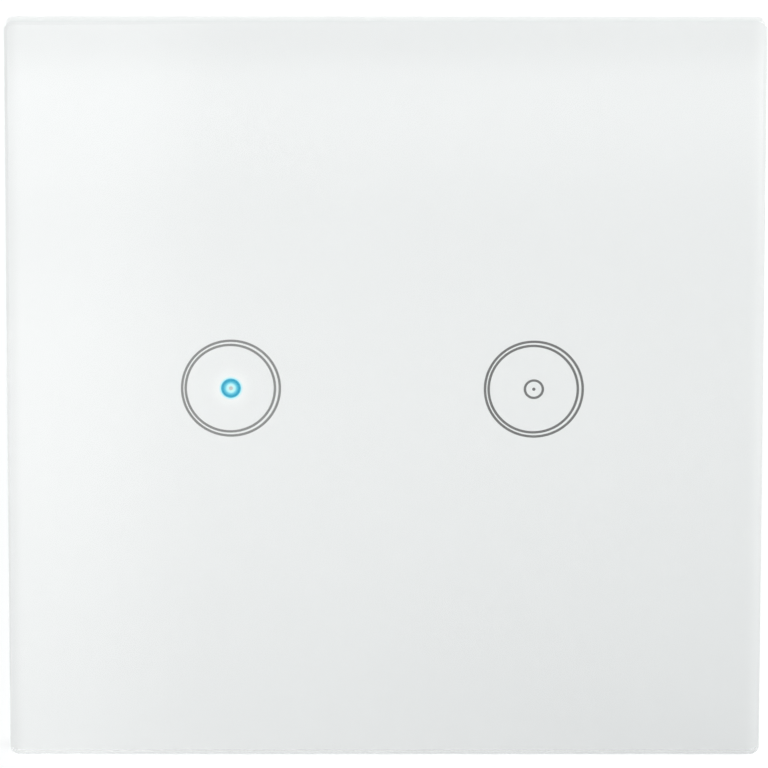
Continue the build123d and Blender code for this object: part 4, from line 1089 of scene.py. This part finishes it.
class Mould:
    """Collects closed shapes into one mesh."""

    CORNER_STEPS = 8
    ROUND = 0.5

    def __init__(self, mesh: BMesh | None = None) -> None:
        """Starts empty, or with a mesh that it takes over."""
        self.mesh = mesh or bmesh.new()

    def block(self, low: Vector, high: Vector, corner: float) -> None:
        """Adds a box whose edges along Y are rounded.

        Args:
            low: Its lowest corner.
            high: Its highest corner.
            corner: Radius of the rounded edges.
        """
        place = Matrix.Translation((low + high) / 2) @ Matrix.Diagonal((*(high - low), 1.0))
        bmesh.ops.create_cube(self.mesh, size=1.0, matrix=place)
        along = [e for e in self.mesh.edges if abs(e.verts[0].co.y - e.verts[1].co.y) > 0]
        self.bevel(along, corner, self.CORNER_STEPS, self.ROUND)

    def bevel(self, edges: list[BMEdge], offset: float, steps: int, profile: float) -> None:
        """Rounds edges over a distance, in a number of steps."""
        shape = {"offset": offset, "segments": steps, "profile": profile}
        bmesh.ops.bevel(self.mesh, geom=edges, affect="EDGES", **shape)

    def disc(self, centre: Point, radius: float, thick: float, sides: int) -> None:
        """Adds a disc that faces along Y.

        Args:
            centre: Its middle.
            radius: Its radius.
            thick: Its thickness.
            sides: How many sides it has.
        """
        place = Matrix.Translation(centre) @ Matrix.Rotation(QUARTER_TURN, 4, "X")
        sizes = {"radius1": radius, "radius2": radius, "depth": thick, "segments": sides}
        bmesh.ops.create_cone(self.mesh, cap_ends=True, cap_tris=True, matrix=place, **sizes)

    def piece(self, name: str, material: Material) -> Object:
        """Closes the mould and returns the finished object.

        Args:
            name: Name of the piece.
            material: Its finish.

        Returns:
            The piece.
        """
        bmesh.ops.recalc_face_normals(self.mesh, faces=self.mesh.faces)
        data = bpy.data.meshes.new(name)
        self.mesh.to_mesh(data)
        self.mesh.free()
        data.materials.append(material)
        smoothed(data)
        return put_in_scene(name, data)


def seat(piece: Object, body: str, stands_for: Sequence[str] = ()) -> None:
    """Fixes a finished piece to its body and reports it.

    Args:
        piece: The piece, already in place.
        body: Name of the body it moves with.
        stands_for: CAD nodes that it replaces.
    """
    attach(piece, body)
    if stands_for:
        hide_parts(*stands_for)
    LOG.info("%s on %s, %d faces", piece.name, body, len(piece.data.polygons))


def middle_of(node: str) -> Vector:
    """Middle of a CAD node's box."""
    low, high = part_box(node)
    return (low + high) / 2


@dataclass
class GlassFace:
    """The printed glass: white back print and two touch marks of thin rings."""

    corner: float = 1.0 * MM
    front_bevel: float = 0.32 * MM
    back_bevel: float = 0.12 * MM
    front_steps: int = 4
    back_steps: int = 2
    bevel_profile: float = 0.55
    border: float = 0.1 * MM
    print_inset: float = 0.04 * MM
    print_depth: float = 0.02 * MM
    print_thick: float = 0.05 * MM
    ink_gap: float = 0.006 * MM
    ink_thick: float = 0.006 * MM
    ring_radius: float = 5.565 * MM
    ring_pitch: float = 0.485 * MM
    ring_shift: float = -0.07 * MM
    ring_line: float = 0.283 * MM
    ring_sides: int = 128
    small_radius: float = 1.02 * MM
    small_line: float = 0.28 * MM
    dot_radius: float = 0.19 * MM
    lit_dot_radius: float = 0.22 * MM
    dot_sides: int = 32
    window_sides: int = 64
    marks_shift: float = -0.28 * MM
    marks_drop: Span = (0.05 * MM, 0.16 * MM)
    lit: int = 0
    rings: int = 2
    back: float = field(init=False)
    centres: list[Point] = field(init=False)

    def __post_init__(self) -> None:
        """Takes the places from the glass and the two light guides."""
        self.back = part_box("glass_panel")[1].y - self.print_depth
        ink = self.back - self.ink_gap - self.ink_thick / 2
        guides = (middle_of("light_guide_1"), middle_of("light_guide_2"))
        drops = zip(guides, self.marks_drop)
        self.centres = [(guide.x + self.marks_shift, ink, -drop) for guide, drop in drops]

    def build(self) -> None:
        """Makes the glass, the print and the marks."""
        self._glass()
        self._back_print()
        pair, single = (self._ring_recipe(count) for count in (self.rings, 1))
        shared = {"Pitch": self.ring_pitch, "Shift": self.ring_shift, "Thickness": self.ink_thick}
        for number, (side, centre) in enumerate(zip(("left", "right"), self.centres)):
            is_lit = number == self.lit
            # The lit mark's rings take the ink painted lighter by the lamp's light.
            ink = MarkInk(PAINTED_LIT_INK if is_lit else DARK_INK).material(f"mark_ink_{side}")
            large = shared | {"Radius": self.ring_radius, "Line": self.ring_line, "Place": centre}
            self._seat(pair.piece(f"touch_rings_{side}", ink, large))
            dot = self.dot_radius
            if is_lit:
                window = LitWindow(centre)
                light = window.material("lit_window")
                shape = (centre, window.reach, self.ink_thick / 2, self.window_sides)
                self._seat(self._disc(f"lamp_ring_{side}", light, *shape), Slot.LAMP)
                # The lit dot takes an ink painted pale by the lamp's light behind it.
                ink = MarkInk(PAINTED_LIT_DOT_INK).material("painted_lit_dot_ink")
                dot = self.lit_dot_radius
            else:
                small = large | {"Radius": self.small_radius, "Line": self.small_line}
                self._seat(single.piece(f"lamp_ring_{side}", ink, small))
            shape = (centre, dot, self.ink_thick, self.dot_sides)
            self._seat(self._disc(f"lamp_dot_{side}", ink, *shape))

    @staticmethod
    def _seat(piece: Object, slot: Slot = Slot.GLASS) -> None:
        """Fixes an added piece to the cover."""
        seat(piece, Body.COVER)

    @staticmethod
    def _disc(name: str, material: Material, *shape: object) -> Object:
        """A thin disc.

        Args:
            name: Name of the piece.
            material: Its finish.
            shape: What a mould's disc takes.

        Returns:
            The piece.
        """
        mould = Mould()
        mould.disc(*shape)
        return mould.piece(name, material)

    def _glass(self) -> None:
        """The pane with its rounded edges, in place of the plain panel."""
        low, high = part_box("glass_panel")
        mould = Mould()
        mould.block(low, high, self.corner)
        front = (low.y, self.front_bevel, self.front_steps)
        back = (high.y, self.back_bevel, self.back_steps)
        for level, bevel, steps in (front, back):
            rim = [e for e in mould.mesh.edges if self._is_at(e, level)]
            mould.bevel(rim, bevel, steps, self.bevel_profile)
            flat = [f for f in mould.mesh.faces if self._is_at(f, level)]
            bmesh.ops.inset_region(mould.mesh, faces=flat, thickness=self.border)
        seat(mould.piece("glass", paint(Slot.GLASS)), Body.COVER, ("glass_panel",))

    def _is_at(self, part: BMEdge | BMFace, level: float) -> bool:
        """Whether an edge or a face lies at one depth."""
        return all(abs(vert.co.y - level) < self.ink_gap for vert in part.verts)

    def _back_print(self) -> None:
        """White sheet set just inside the back of the glass."""
        low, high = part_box("glass_panel")
        inset = Vector((self.print_inset, 0, self.print_inset))
        low.y = self.back
        high.y = self.back + self.print_thick
        mould = Mould()
        mould.block(low + inset, high - inset, self.corner - self.print_inset)
        # The back print's material carries painted edge shade and light, and a painted glow and
        # spill round the lit mark.
        enamel = BackPrint(self.centres[self.lit]).material("back_print")
        self._seat(mould.piece("back_print", enamel))

    def _ring_recipe(self, count: int) -> Recipe:
        """Thin flat rings inside each other, facing -Y.

        Args:
            count: How many rings.

        Returns:
            The recipe.
        """
        recipe = Recipe(f"flat_rings_{count}")
        radius, pitch, line, shift = recipe.sizes("Radius", "Pitch", "Line", "Shift")
        profile = recipe.section(line, *recipe.sizes("Thickness"))
        place = recipe.place("Place")
        hoops = []
        for index in range(count):
            sizes = {"Resolution": self.ring_sides, "Radius": radius - pitch * index}
            path = recipe.geometry("CurvePrimitiveCircle", sizes)
            hoop = recipe.geometry("CurveToMesh", {"Curve": path, "Profile Curve": profile})
            hoops.append(recipe.moved(hoop, recipe.vector(shift * index)))
        return recipe.done(recipe.moved(recipe.joined(hoops), place, (QUARTER_TURN, 0.0, 0.0)))


@dataclass(frozen=True)
class ScrewSize:
    """Sizes of one kind of screw, in millimetres. Its thread takes the place of the plain shank."""

    head_radius: float
    head_height: float
    shank_radius: float
    reach: float
    pitch: float
    thread: float
    dome: float
    long_arm: float
    short_arm: float
    arm_width: float
    recess: float

    def inputs(self) -> dict[str, object]:
        """The sizes in metres, by the names of the recipe's inputs."""
        named = ((name.replace("_", " "), size * MM) for name, size in asdict(self).items())
        return {name.capitalize(): size for name, size in named}


@dataclass
class Screws:
    """The screws of the board, the plate and the terminals, with real threads and recesses."""

    plate: ScrewSize = ScrewSize(
        head_radius=2.3, head_height=1.4, shank_radius=1.1, reach=8.0, pitch=0.9, thread=0.3,
        dome=0.35, long_arm=1.35, short_arm=1.35, arm_width=0.5, recess=0.8,
    )
    board: ScrewSize = ScrewSize(
        head_radius=1.9, head_height=1.0, shank_radius=1.0, reach=3.8, pitch=0.75, thread=0.26,
        dome=0.3, long_arm=1.05, short_arm=1.05, arm_width=0.4, recess=0.6,
    )
    terminal: ScrewSize = ScrewSize(
        head_radius=1.9, head_height=1.4, shank_radius=1.45, reach=4.9, pitch=0.5, thread=0.2,
        dome=0.15, long_arm=2.0, short_arm=1.1, arm_width=0.6, recess=0.7,
    )
    spins: tuple[float, ...] = (0.35, 1.2, -0.5, 0.9)
    sides: int = 40
    fan_steps: int = 6
    thread_steps: int = 24
    thread_sides: int = 4
    thread_seat: float = 0.97
    thread_lift: float = 0.4
    sliver: float = 0.004 * MM

    def build(self) -> None:
        """Makes every screw."""
        recipe = self._recipe()
        self._group(recipe, "plate_screws", self.plate, Slot.PLATE_SCREW, Body.WALL, 1)
        self._group(recipe, "board_screws", self.board, Slot.SMALL_SCREW, Body.COVER, -1)
        for number, spin in enumerate(self.spins, 1):
            node = f"terminal_screw_{number}"
            place = middle_of(node)
            place.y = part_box(node)[1].y - self.terminal.head_height * MM
            sizes = self.terminal.inputs() | {"Turn": (-QUARTER_TURN, 0.0, 0.0), "Spin": spin}
            piece = recipe.piece(f"threaded_{node}", paint(Slot.TERMINAL_SCREW), sizes, [place])
            seat(piece, node, (node,))

    def _group(
        self, recipe: Recipe, node: str, size: ScrewSize, slot: Slot, body: Body, way: int
    ) -> None:
        """Puts four screws at the corners of a node's box.

        Args:
            recipe: The recipe of a screw.
            node: The CAD node of the four.
            size: Their sizes.
            slot: Their finish.
            body: The body they ride on.
            way: 1 where the heads face the front, and -1 where they face the wall.
        """
        low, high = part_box(node)
        radius, height = size.head_radius * MM, size.head_height * MM
        seat_y = low.y + height if way > 0 else high.y - height
        across = (low.x + radius, high.x - radius)
        along = (low.z + radius, high.z - radius)
        places = [(x, seat_y, z) for x in across for z in along]
        sizes = size.inputs() | {"Turn": (way * QUARTER_TURN, 0.0, 0.0), "Spin": self.spins[0]}
        seat(recipe.piece(f"threaded_{node}", paint(slot), sizes, places), body, (node,))

    def _recipe(self) -> Recipe:
        """A domed head with a cross or slot cut in it, and a thread wound round a core.

        Returns:
            The recipe, which puts a screw on each point.
        """
        recipe = Recipe("screw")
        names = list(self.plate.inputs())
        size = dict(zip(names, recipe.sizes(*names)))
        turn = recipe.place("Turn")
        spin, = recipe.sizes("Spin")
        radius = size["Shank radius"] - size["Thread"]
        core_sizes = {"Vertices": self.sides, "Radius": radius, "Depth": size["Reach"]}
        core = recipe.geometry("MeshCylinder", core_sizes)
        core = recipe.moved(core, recipe.vector(z=-0.5 * size["Reach"]))
        wound = size["Reach"] - size["Pitch"]
        spiral = (radius * self.thread_seat, wound, wound / size["Pitch"], size["Thread"])
        thread = recipe.coil(*spiral, self.thread_steps, self.thread_sides)
        end = self.thread_lift * size["Pitch"] - size["Reach"]
        thread = recipe.moved(thread, recipe.vector(z=end))
        whole = recipe.joined([self._head(recipe, size), core, thread])
        return recipe.done(recipe.on_points(recipe.moved(whole, turn=recipe.vector(z=spin)), turn))

    def _head(self, recipe: Recipe, size: Mapping[str, Signal]) -> Signal:
        """The head: a cylinder whose top falls away from its middle, less its recess.

        Args:
            recipe: The recipe of the screw.
            size: Its sizes, by the names of the inputs.

        Returns:
            The head.
        """
        radius, height, width = size["Head radius"], size["Head height"], size["Arm width"]
        steps = {"Vertices": self.sides, "Fill Segments": self.fan_steps}
        sizes = steps | {"Radius": radius, "Depth": height}
        blank = recipe.geometry("MeshCylinder", sizes, {"fill_type": "TRIANGLE_FAN"})
        x, y, z = recipe.split(recipe.geometry("InputPosition"))
        fall = (x * x + y * y) / (radius * radius) * size["Dome"]
        raised = recipe.vector(z=height * 0.5 - fall * (z > 0.0))
        head = recipe.geometry("SetPosition", {"Geometry": blank, "Offset": raised})
        spreads = ((size["Long arm"] * 2, width), (width, size["Short arm"] * 2))
        boxes = [recipe.vector(*spread, size["Recess"] * 2) for spread in spreads]
        arms = recipe.joined(recipe.geometry("MeshCube", {"Size": box}) for box in boxes)
        cutter = recipe.moved(arms, recipe.vector(z=height))
        cut = {"Mesh 1": head, "Mesh 2": cutter, "Self Intersection": True}
        head = recipe.geometry("MeshBoolean", cut, {"operation": "DIFFERENCE", "solver": "EXACT"})
        return recipe.geometry("MergeByDistance", {"Geometry": head, "Distance": self.sliver})


@dataclass
class TouchSprings:
    """The two coil electrodes, wound from round wire."""

    wire: float = 0.3 * MM
    turns: float = 2.25
    steps: int = 64
    sides: int = 14

    def build(self) -> None:
        """Winds both springs between the board and the glass."""
        recipe = Recipe("spring")
        radius, height, wire, turns = recipe.sizes("Radius", "Height", "Wire", "Turns")
        turn = recipe.place("Turn")
        coil = recipe.coil(radius, height, turns, wire, self.steps, self.sides)
        recipe.done(recipe.on_points(coil, turn))
        for node in ("touch_spring_1", "touch_spring_2"):
            low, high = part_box(node)
            sizes = {
                "Radius": (high.x - low.x) / 2 - self.wire,
                "Height": high.y - low.y - 2 * self.wire,
                "Wire": self.wire,
                "Turns": self.turns,
                "Turn": (QUARTER_TURN, 0.0, 0.0),
            }
            start = middle_of(node)
            start.y = high.y - self.wire
            piece = recipe.piece(f"wound_{node}", paint(Slot.SPRING), sizes, [start])
            seat(piece, Body.COVER, (node,))


@dataclass(frozen=True)
class Lettering:
    """How the letters of one kind are cut and how far they stand out."""

    tall: float
    bold: float
    raised: float
    sunk: float
    curve_steps: int = 5

    def add(self, mesh: BMesh, words: str, place: Point) -> None:
        """Adds letters that face +Y.

        Args:
            mesh: The mesh that takes them.
            words: The letters.
            place: Middle of the line, on the surface that they stand on.
        """
        letter = bpy.data.curves.new("letters", "FONT")
        letter.body = words
        letter.size = self.tall
        letter.align_x = "CENTER"
        letter.align_y = "CENTER"
        letter.offset = self.bold
        letter.extrude = (self.raised + self.sunk) / 2
        letter.resolution_u = self.curve_steps
        flat = put_in_scene("letters", letter)
        bpy.context.view_layer.update()
        solid = mesh_of(flat)
        turn = Matrix.Rotation(math.pi, 4, "Z") @ Matrix.Rotation(QUARTER_TURN, 4, "X")
        middle = Vector(place) + Vector((0.0, (self.raised - self.sunk) / 2, 0.0))
        solid.transform(Matrix.Translation(middle) @ turn)
        mesh.from_mesh(solid)
        bpy.data.objects.remove(flat)


@dataclass
class RearMarks:
    """Lettering on the back of the housing: raised terminal marks and a plain rating label."""

    marks: tuple[str, ...] = ("2", "1", "L", "N")
    mark_letters: Lettering = Lettering(3.6 * MM, 0.09 * MM, 0.3 * MM, 0.05 * MM)
    mark_back: float = 23.6 * MM
    mark_level: float = -11.4 * MM
    lines: tuple[str, ...] = (
        "2-GANG TOUCH SWITCH", "100-240 V~  50/60 Hz", "OUT 1, 2: MAX 5 A EACH"
    )
    line_letters: Lettering = Lettering(1.9 * MM, 0.0, 0.02 * MM, 0.03 * MM)
    line_pitch: float = 3.4 * MM
    label_middle: float = 7.0 * MM
    label_half: Span = (14.0 * MM, 6.2 * MM)
    label_corner: float = 1.2 * MM
    label_thick: float = 0.1 * MM
    label_sunk: float = 0.03 * MM
    seam: float = 0.002 * MM

    def build(self) -> None:
        """Makes the terminal marks, the label and its print."""
        ink = MarkInk(MARK_GREY).material("terminal_ink")
        marks = bmesh.new()
        for number, mark in enumerate(self.marks, 1):
            place = (middle_of(f"terminal_screw_{number}").x, self.mark_back, self.mark_level)
            self.mark_letters.add(marks, mark, place)
        self._printed("terminal_marks", marks, ink)
        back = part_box("rear_housing")[1].y
        face = back + self.label_thick
        wide, high = self.label_half
        label = Mould()
        low = Vector((-wide, back - self.label_sunk, self.label_middle - high))
        label.block(low, Vector((wide, face, self.label_middle + high)), self.label_corner)
        self._seat(label.piece("rating_label", LABEL_FILM.material("label_film")))
        words = bmesh.new()
        for number, line in enumerate(self.lines):
            level = self.label_middle + (len(self.lines) - 1 - 2 * number) * self.line_pitch / 2
            self.line_letters.add(words, line, (0.0, face, level))
        self._printed("rating_print", words, ink)

    def _printed(self, name: str, letters: BMesh, ink: Material) -> None:
        """Closes the letters' seams and makes a piece of them."""
        bmesh.ops.remove_doubles(letters, verts=letters.verts, dist=self.seam)
        self._seat(Mould(letters).piece(name, ink))

    @staticmethod
    def _seat(piece: Object) -> None:
        """Fixes a piece to the wall part."""
        seat(piece, Body.WALL)


@dataclass
class BoardParts:
    """Rows of small chip resistors and capacitors on the back of the control board."""

    length: float = 1.6 * MM
    width: float = 0.8 * MM
    height: float = 0.45 * MM
    cap: float = 0.3 * MM
    cap_skin: float = 0.02 * MM
    corner: float = 0.07 * MM
    corner_steps: int = 3
    columns: tuple[float, ...] = (-13.4, -10.6, -7.8, -5.0, -2.2, 2.2, 5.0, 7.8, 10.6, 13.4)
    rows: tuple[float, ...] = (-9.5, -7.4, 6.8, 8.9, 11.0)
    left_out: frozenset[tuple[int, int]] = frozenset(
        ((0, 4), (3, 3), (5, 2), (6, 4), (8, 3), (9, 0), (2, 1), (4, 3))
    )

    def build(self) -> None:
        """Makes the bodies and then their tinned ends."""
        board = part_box("control_board")[1].y
        places = [
            (x * MM, board, z * MM)
            for column, x in enumerate(self.columns)
            for row, z in enumerate(self.rows)
            if (column, row) not in self.left_out
        ]
        offset = (self.length + 2 * self.cap_skin - self.cap) / 2
        kinds = (
            ("bodies", Slot.CHIP, (0,), self.length, 0.0),
            ("ends", Slot.TINNED, (-1, 1), self.cap, self.cap_skin),
        )
        for part, slot, sides, length, skin in kinds:
            sizes = {
                "Length": length,
                "Width": self.width + 2 * skin,
                "Height": self.height + 2 * skin,
                "Corner": self.corner + skin,
                "Offset": offset,
            }
            recipe = self._recipe(f"chip_{part}", sides)
            piece = recipe.piece(f"chip_part_{part}", paint(slot), sizes, places)
            seat(piece, Body.COVER)

    def _recipe(self, name: str, sides: Sequence[int]) -> Recipe:
        """Rounded bars at the given sides of the middle of each part.

        Args:
            name: Name of the recipe.
            sides: -1, 0 or 1 along the part, for each bar.

        Returns:
            The recipe, which puts the bars on each point.
        """
        recipe = Recipe(name)
        length, width, height, offset = recipe.sizes("Length", "Width", "Height", "Offset")
        rounded = {"Curve": recipe.section(width, height), "Count": self.corner_steps}
        rounded["Radius"], = recipe.sizes("Corner")
        section = recipe.geometry("FilletCurve", rounded, {"mode": "POLY"})
        bars = []
        for side in sides:
            ends = {
                end: recipe.vector(offset * side + length * half, height * 0.5)
                for end, half in (("Start", -0.5), ("End", 0.5))
            }
            bars.append(recipe.swept(recipe.geometry("CurvePrimitiveLine", ends), section))
        return recipe.done(recipe.on_points(recipe.joined(bars), recipe.vector()))


def looking(place: Point, aim: Point) -> Quaternion:
    """The turn that makes a lamp or camera look from one point at another."""
    return (Vector(aim) - Vector(place)).to_track_quat("-Z", "Y")


@dataclass(frozen=True)
class Lamp:
    """A soft lamp that the camera doesn't see.

    Lamps as near as the front ones would burn out metal edges, so they are kept out of gloss.
    """

    name: str
    place: Point
    sides: Span
    power: float
    aim: Point = ORIGIN
    in_gloss: bool = False
    colour: Colour = (1.0, 0.982, 0.957)

    def build(self) -> None:
        """Makes the lamp."""
        data = bpy.data.lights.new(self.name, "AREA")
        data.shape = "RECTANGLE"
        data.size, data.size_y = self.sides
        data.energy = self.power
        data.color = self.colour
        lamp = put_in_scene(self.name, data)
        lamp.location = self.place
        lamp.rotation_euler = looking(self.place, self.aim).to_euler()
        lamp.visible_camera = False
        lamp.visible_glossy = self.in_gloss


@dataclass(frozen=True)
class Studio:
    """Plain pale floor, soft lamps and a white surround."""

    lamps: tuple[Lamp, ...] = (
        Lamp("key", (-0.14, -0.2, -0.006), (0.1, 0.07), 0.287, aim=(0.0, 0.0, -0.012)),
        Lamp("upper", (0.099, -0.15, 0.078), (0.12, 0.12), 0.129),
        Lamp("rear_fill", (0.5, 0.9, 0.6), (0.6, 0.6), 6.5, in_gloss=True),
        Lamp("rear_side", (-0.8, 0.6, 0.3), (0.5, 0.5), 1.6, in_gloss=True),
    )
    floor_side: float = 6.0
    floor_gap: float = 0.05 * MM
    floor_colour: Colour = tone(196, 196, 196)
    floor_light: float = 0.62
    fill: float = 0.34
    fill_colour: Colour = (0.90, 1.0, 1.05)
    # Painted sheen on the floor, seen only in gloss and through glass.
    sheen: float = 0.95
    sheen_far: Span = (-0.402, -0.370)
    sheen_near: Span = (-0.360, -0.268)
    sheen_side: Span = (-0.041, -0.019)
    sheen_reach: Span = (0.062, 0.068)

    def build(self) -> None:
        """Makes the floor, the surround and the lamps."""
        self._floor()
        self._surround()
        for lamp in self.lamps:
            lamp.build()

    def _floor(self) -> None:
        """A pale plane under the switch that is lighter to the camera and keeps its shadow.

        Its sheen is a painted reflection: emission that only gloss and glass see, which the front
        glass mirrors as a strip in front, and more of it to the left.
        """
        half = self.floor_side / 2
        level = CAD_BOX[0].z - self.floor_gap
        data = bpy.data.meshes.new("floor")
        signs = ((-1, -1), (1, -1), (1, 1), (-1, 1))
        data.from_pydata([(x * half, y * half, level) for x, y in signs], [], [(0, 1, 2, 3)])
        made = bpy.data.materials.new("floor")
        graph = Graph(emptied(made))
        matt = graph.result("BsdfDiffuse", {"Color": self.floor_colour})
        x, y, _ = graph.split(graph.coordinates)
        across = graph.ramp(y, *self.sheen_far) - graph.ramp(y, *self.sheen_near)
        leftward = 1 - graph.ramp(x, *self.sheen_side)
        within = 1 - graph.ramp(abs(x), *self.sheen_reach)
        # Painted sheen: light drawn on the floor only for reflections in the glass.
        sheen = (across + leftward) * within * self.sheen
        seen = graph.rays("Camera", "Glossy", "Transmission") * self.floor_light
        strength = seen + graph.rays("Glossy", "Transmission") * sheen
        light = graph.result("Emission", {"Color": WHITE, "Strength": strength})
        both = graph.result("AddShader", {"Shader": matt, "Shader_001": light})
        graph.node("ShaderNodeOutputMaterial", {"Surface": both})
        data.materials.append(made)
        floor = put_in_scene("floor", data)

    def _surround(self) -> None:
        """White to the camera, in gloss and through glass, and softer as light."""
        world = bpy.data.worlds.new("studio")
        tree = Tree(emptied(world))
        seen = tree.rays("Camera", "Glossy", "Transmission")
        colour = tree.mix(seen, self.fill_colour, WHITE)
        strength = seen * (1 - self.fill) + self.fill
        light = tree.result("Background", {"Color": colour, "Strength": strength})
        tree.node("ShaderNodeOutputWorld", {"Surface": light})
        bpy.context.scene.world = world


@dataclass(frozen=True)
class Viewpoint:
    """The camera, a long lens slightly above the face."""

    place: Point = (-0.00551, -1.02916, 0.25934)
    aim: Point = (-0.00005, 0.0, -0.00185)
    lens: float = 433.2
    sensor: float = 36.0
    clip: Span = (0.05, 50.0)
    roll: float = math.radians(0.085)

    def build(self) -> None:
        """Makes the camera and uses it."""
        data = bpy.data.cameras.new("camera")
        data.lens = self.lens
        data.sensor_width = self.sensor
        data.clip_start, data.clip_end = self.clip
        camera = put_in_scene("camera", data)
        camera.location = self.place
        turn = looking(self.place, self.aim).to_matrix()
        camera.rotation_euler = (turn @ Matrix.Rotation(self.roll, 3, "Z")).to_euler()
        bpy.context.scene.camera = camera


def dress_nodes() -> None:
    """Gives every CAD node the material of its slot."""
    for part in frame["record"]["subparts"]:
        materials = frame["nodes"][part["node"]].data.materials
        made = paint(Slot(part["material_slot"]))
        if not materials:
            materials.append(made)
        for place in range(len(materials)):
            materials[place] = made


def main() -> None:
    """Builds the looks of the whole switch."""
    logging.basicConfig(level=logging.INFO, format="%(name)s: %(message)s")
    dress_nodes()
    for group in (GlassFace, Screws, TouchSprings, RearMarks, BoardParts, Studio, Viewpoint):
        group().build()
    bpy.context.scene.view_settings.view_transform = "Standard"


if __name__ == "__main__":
    main()
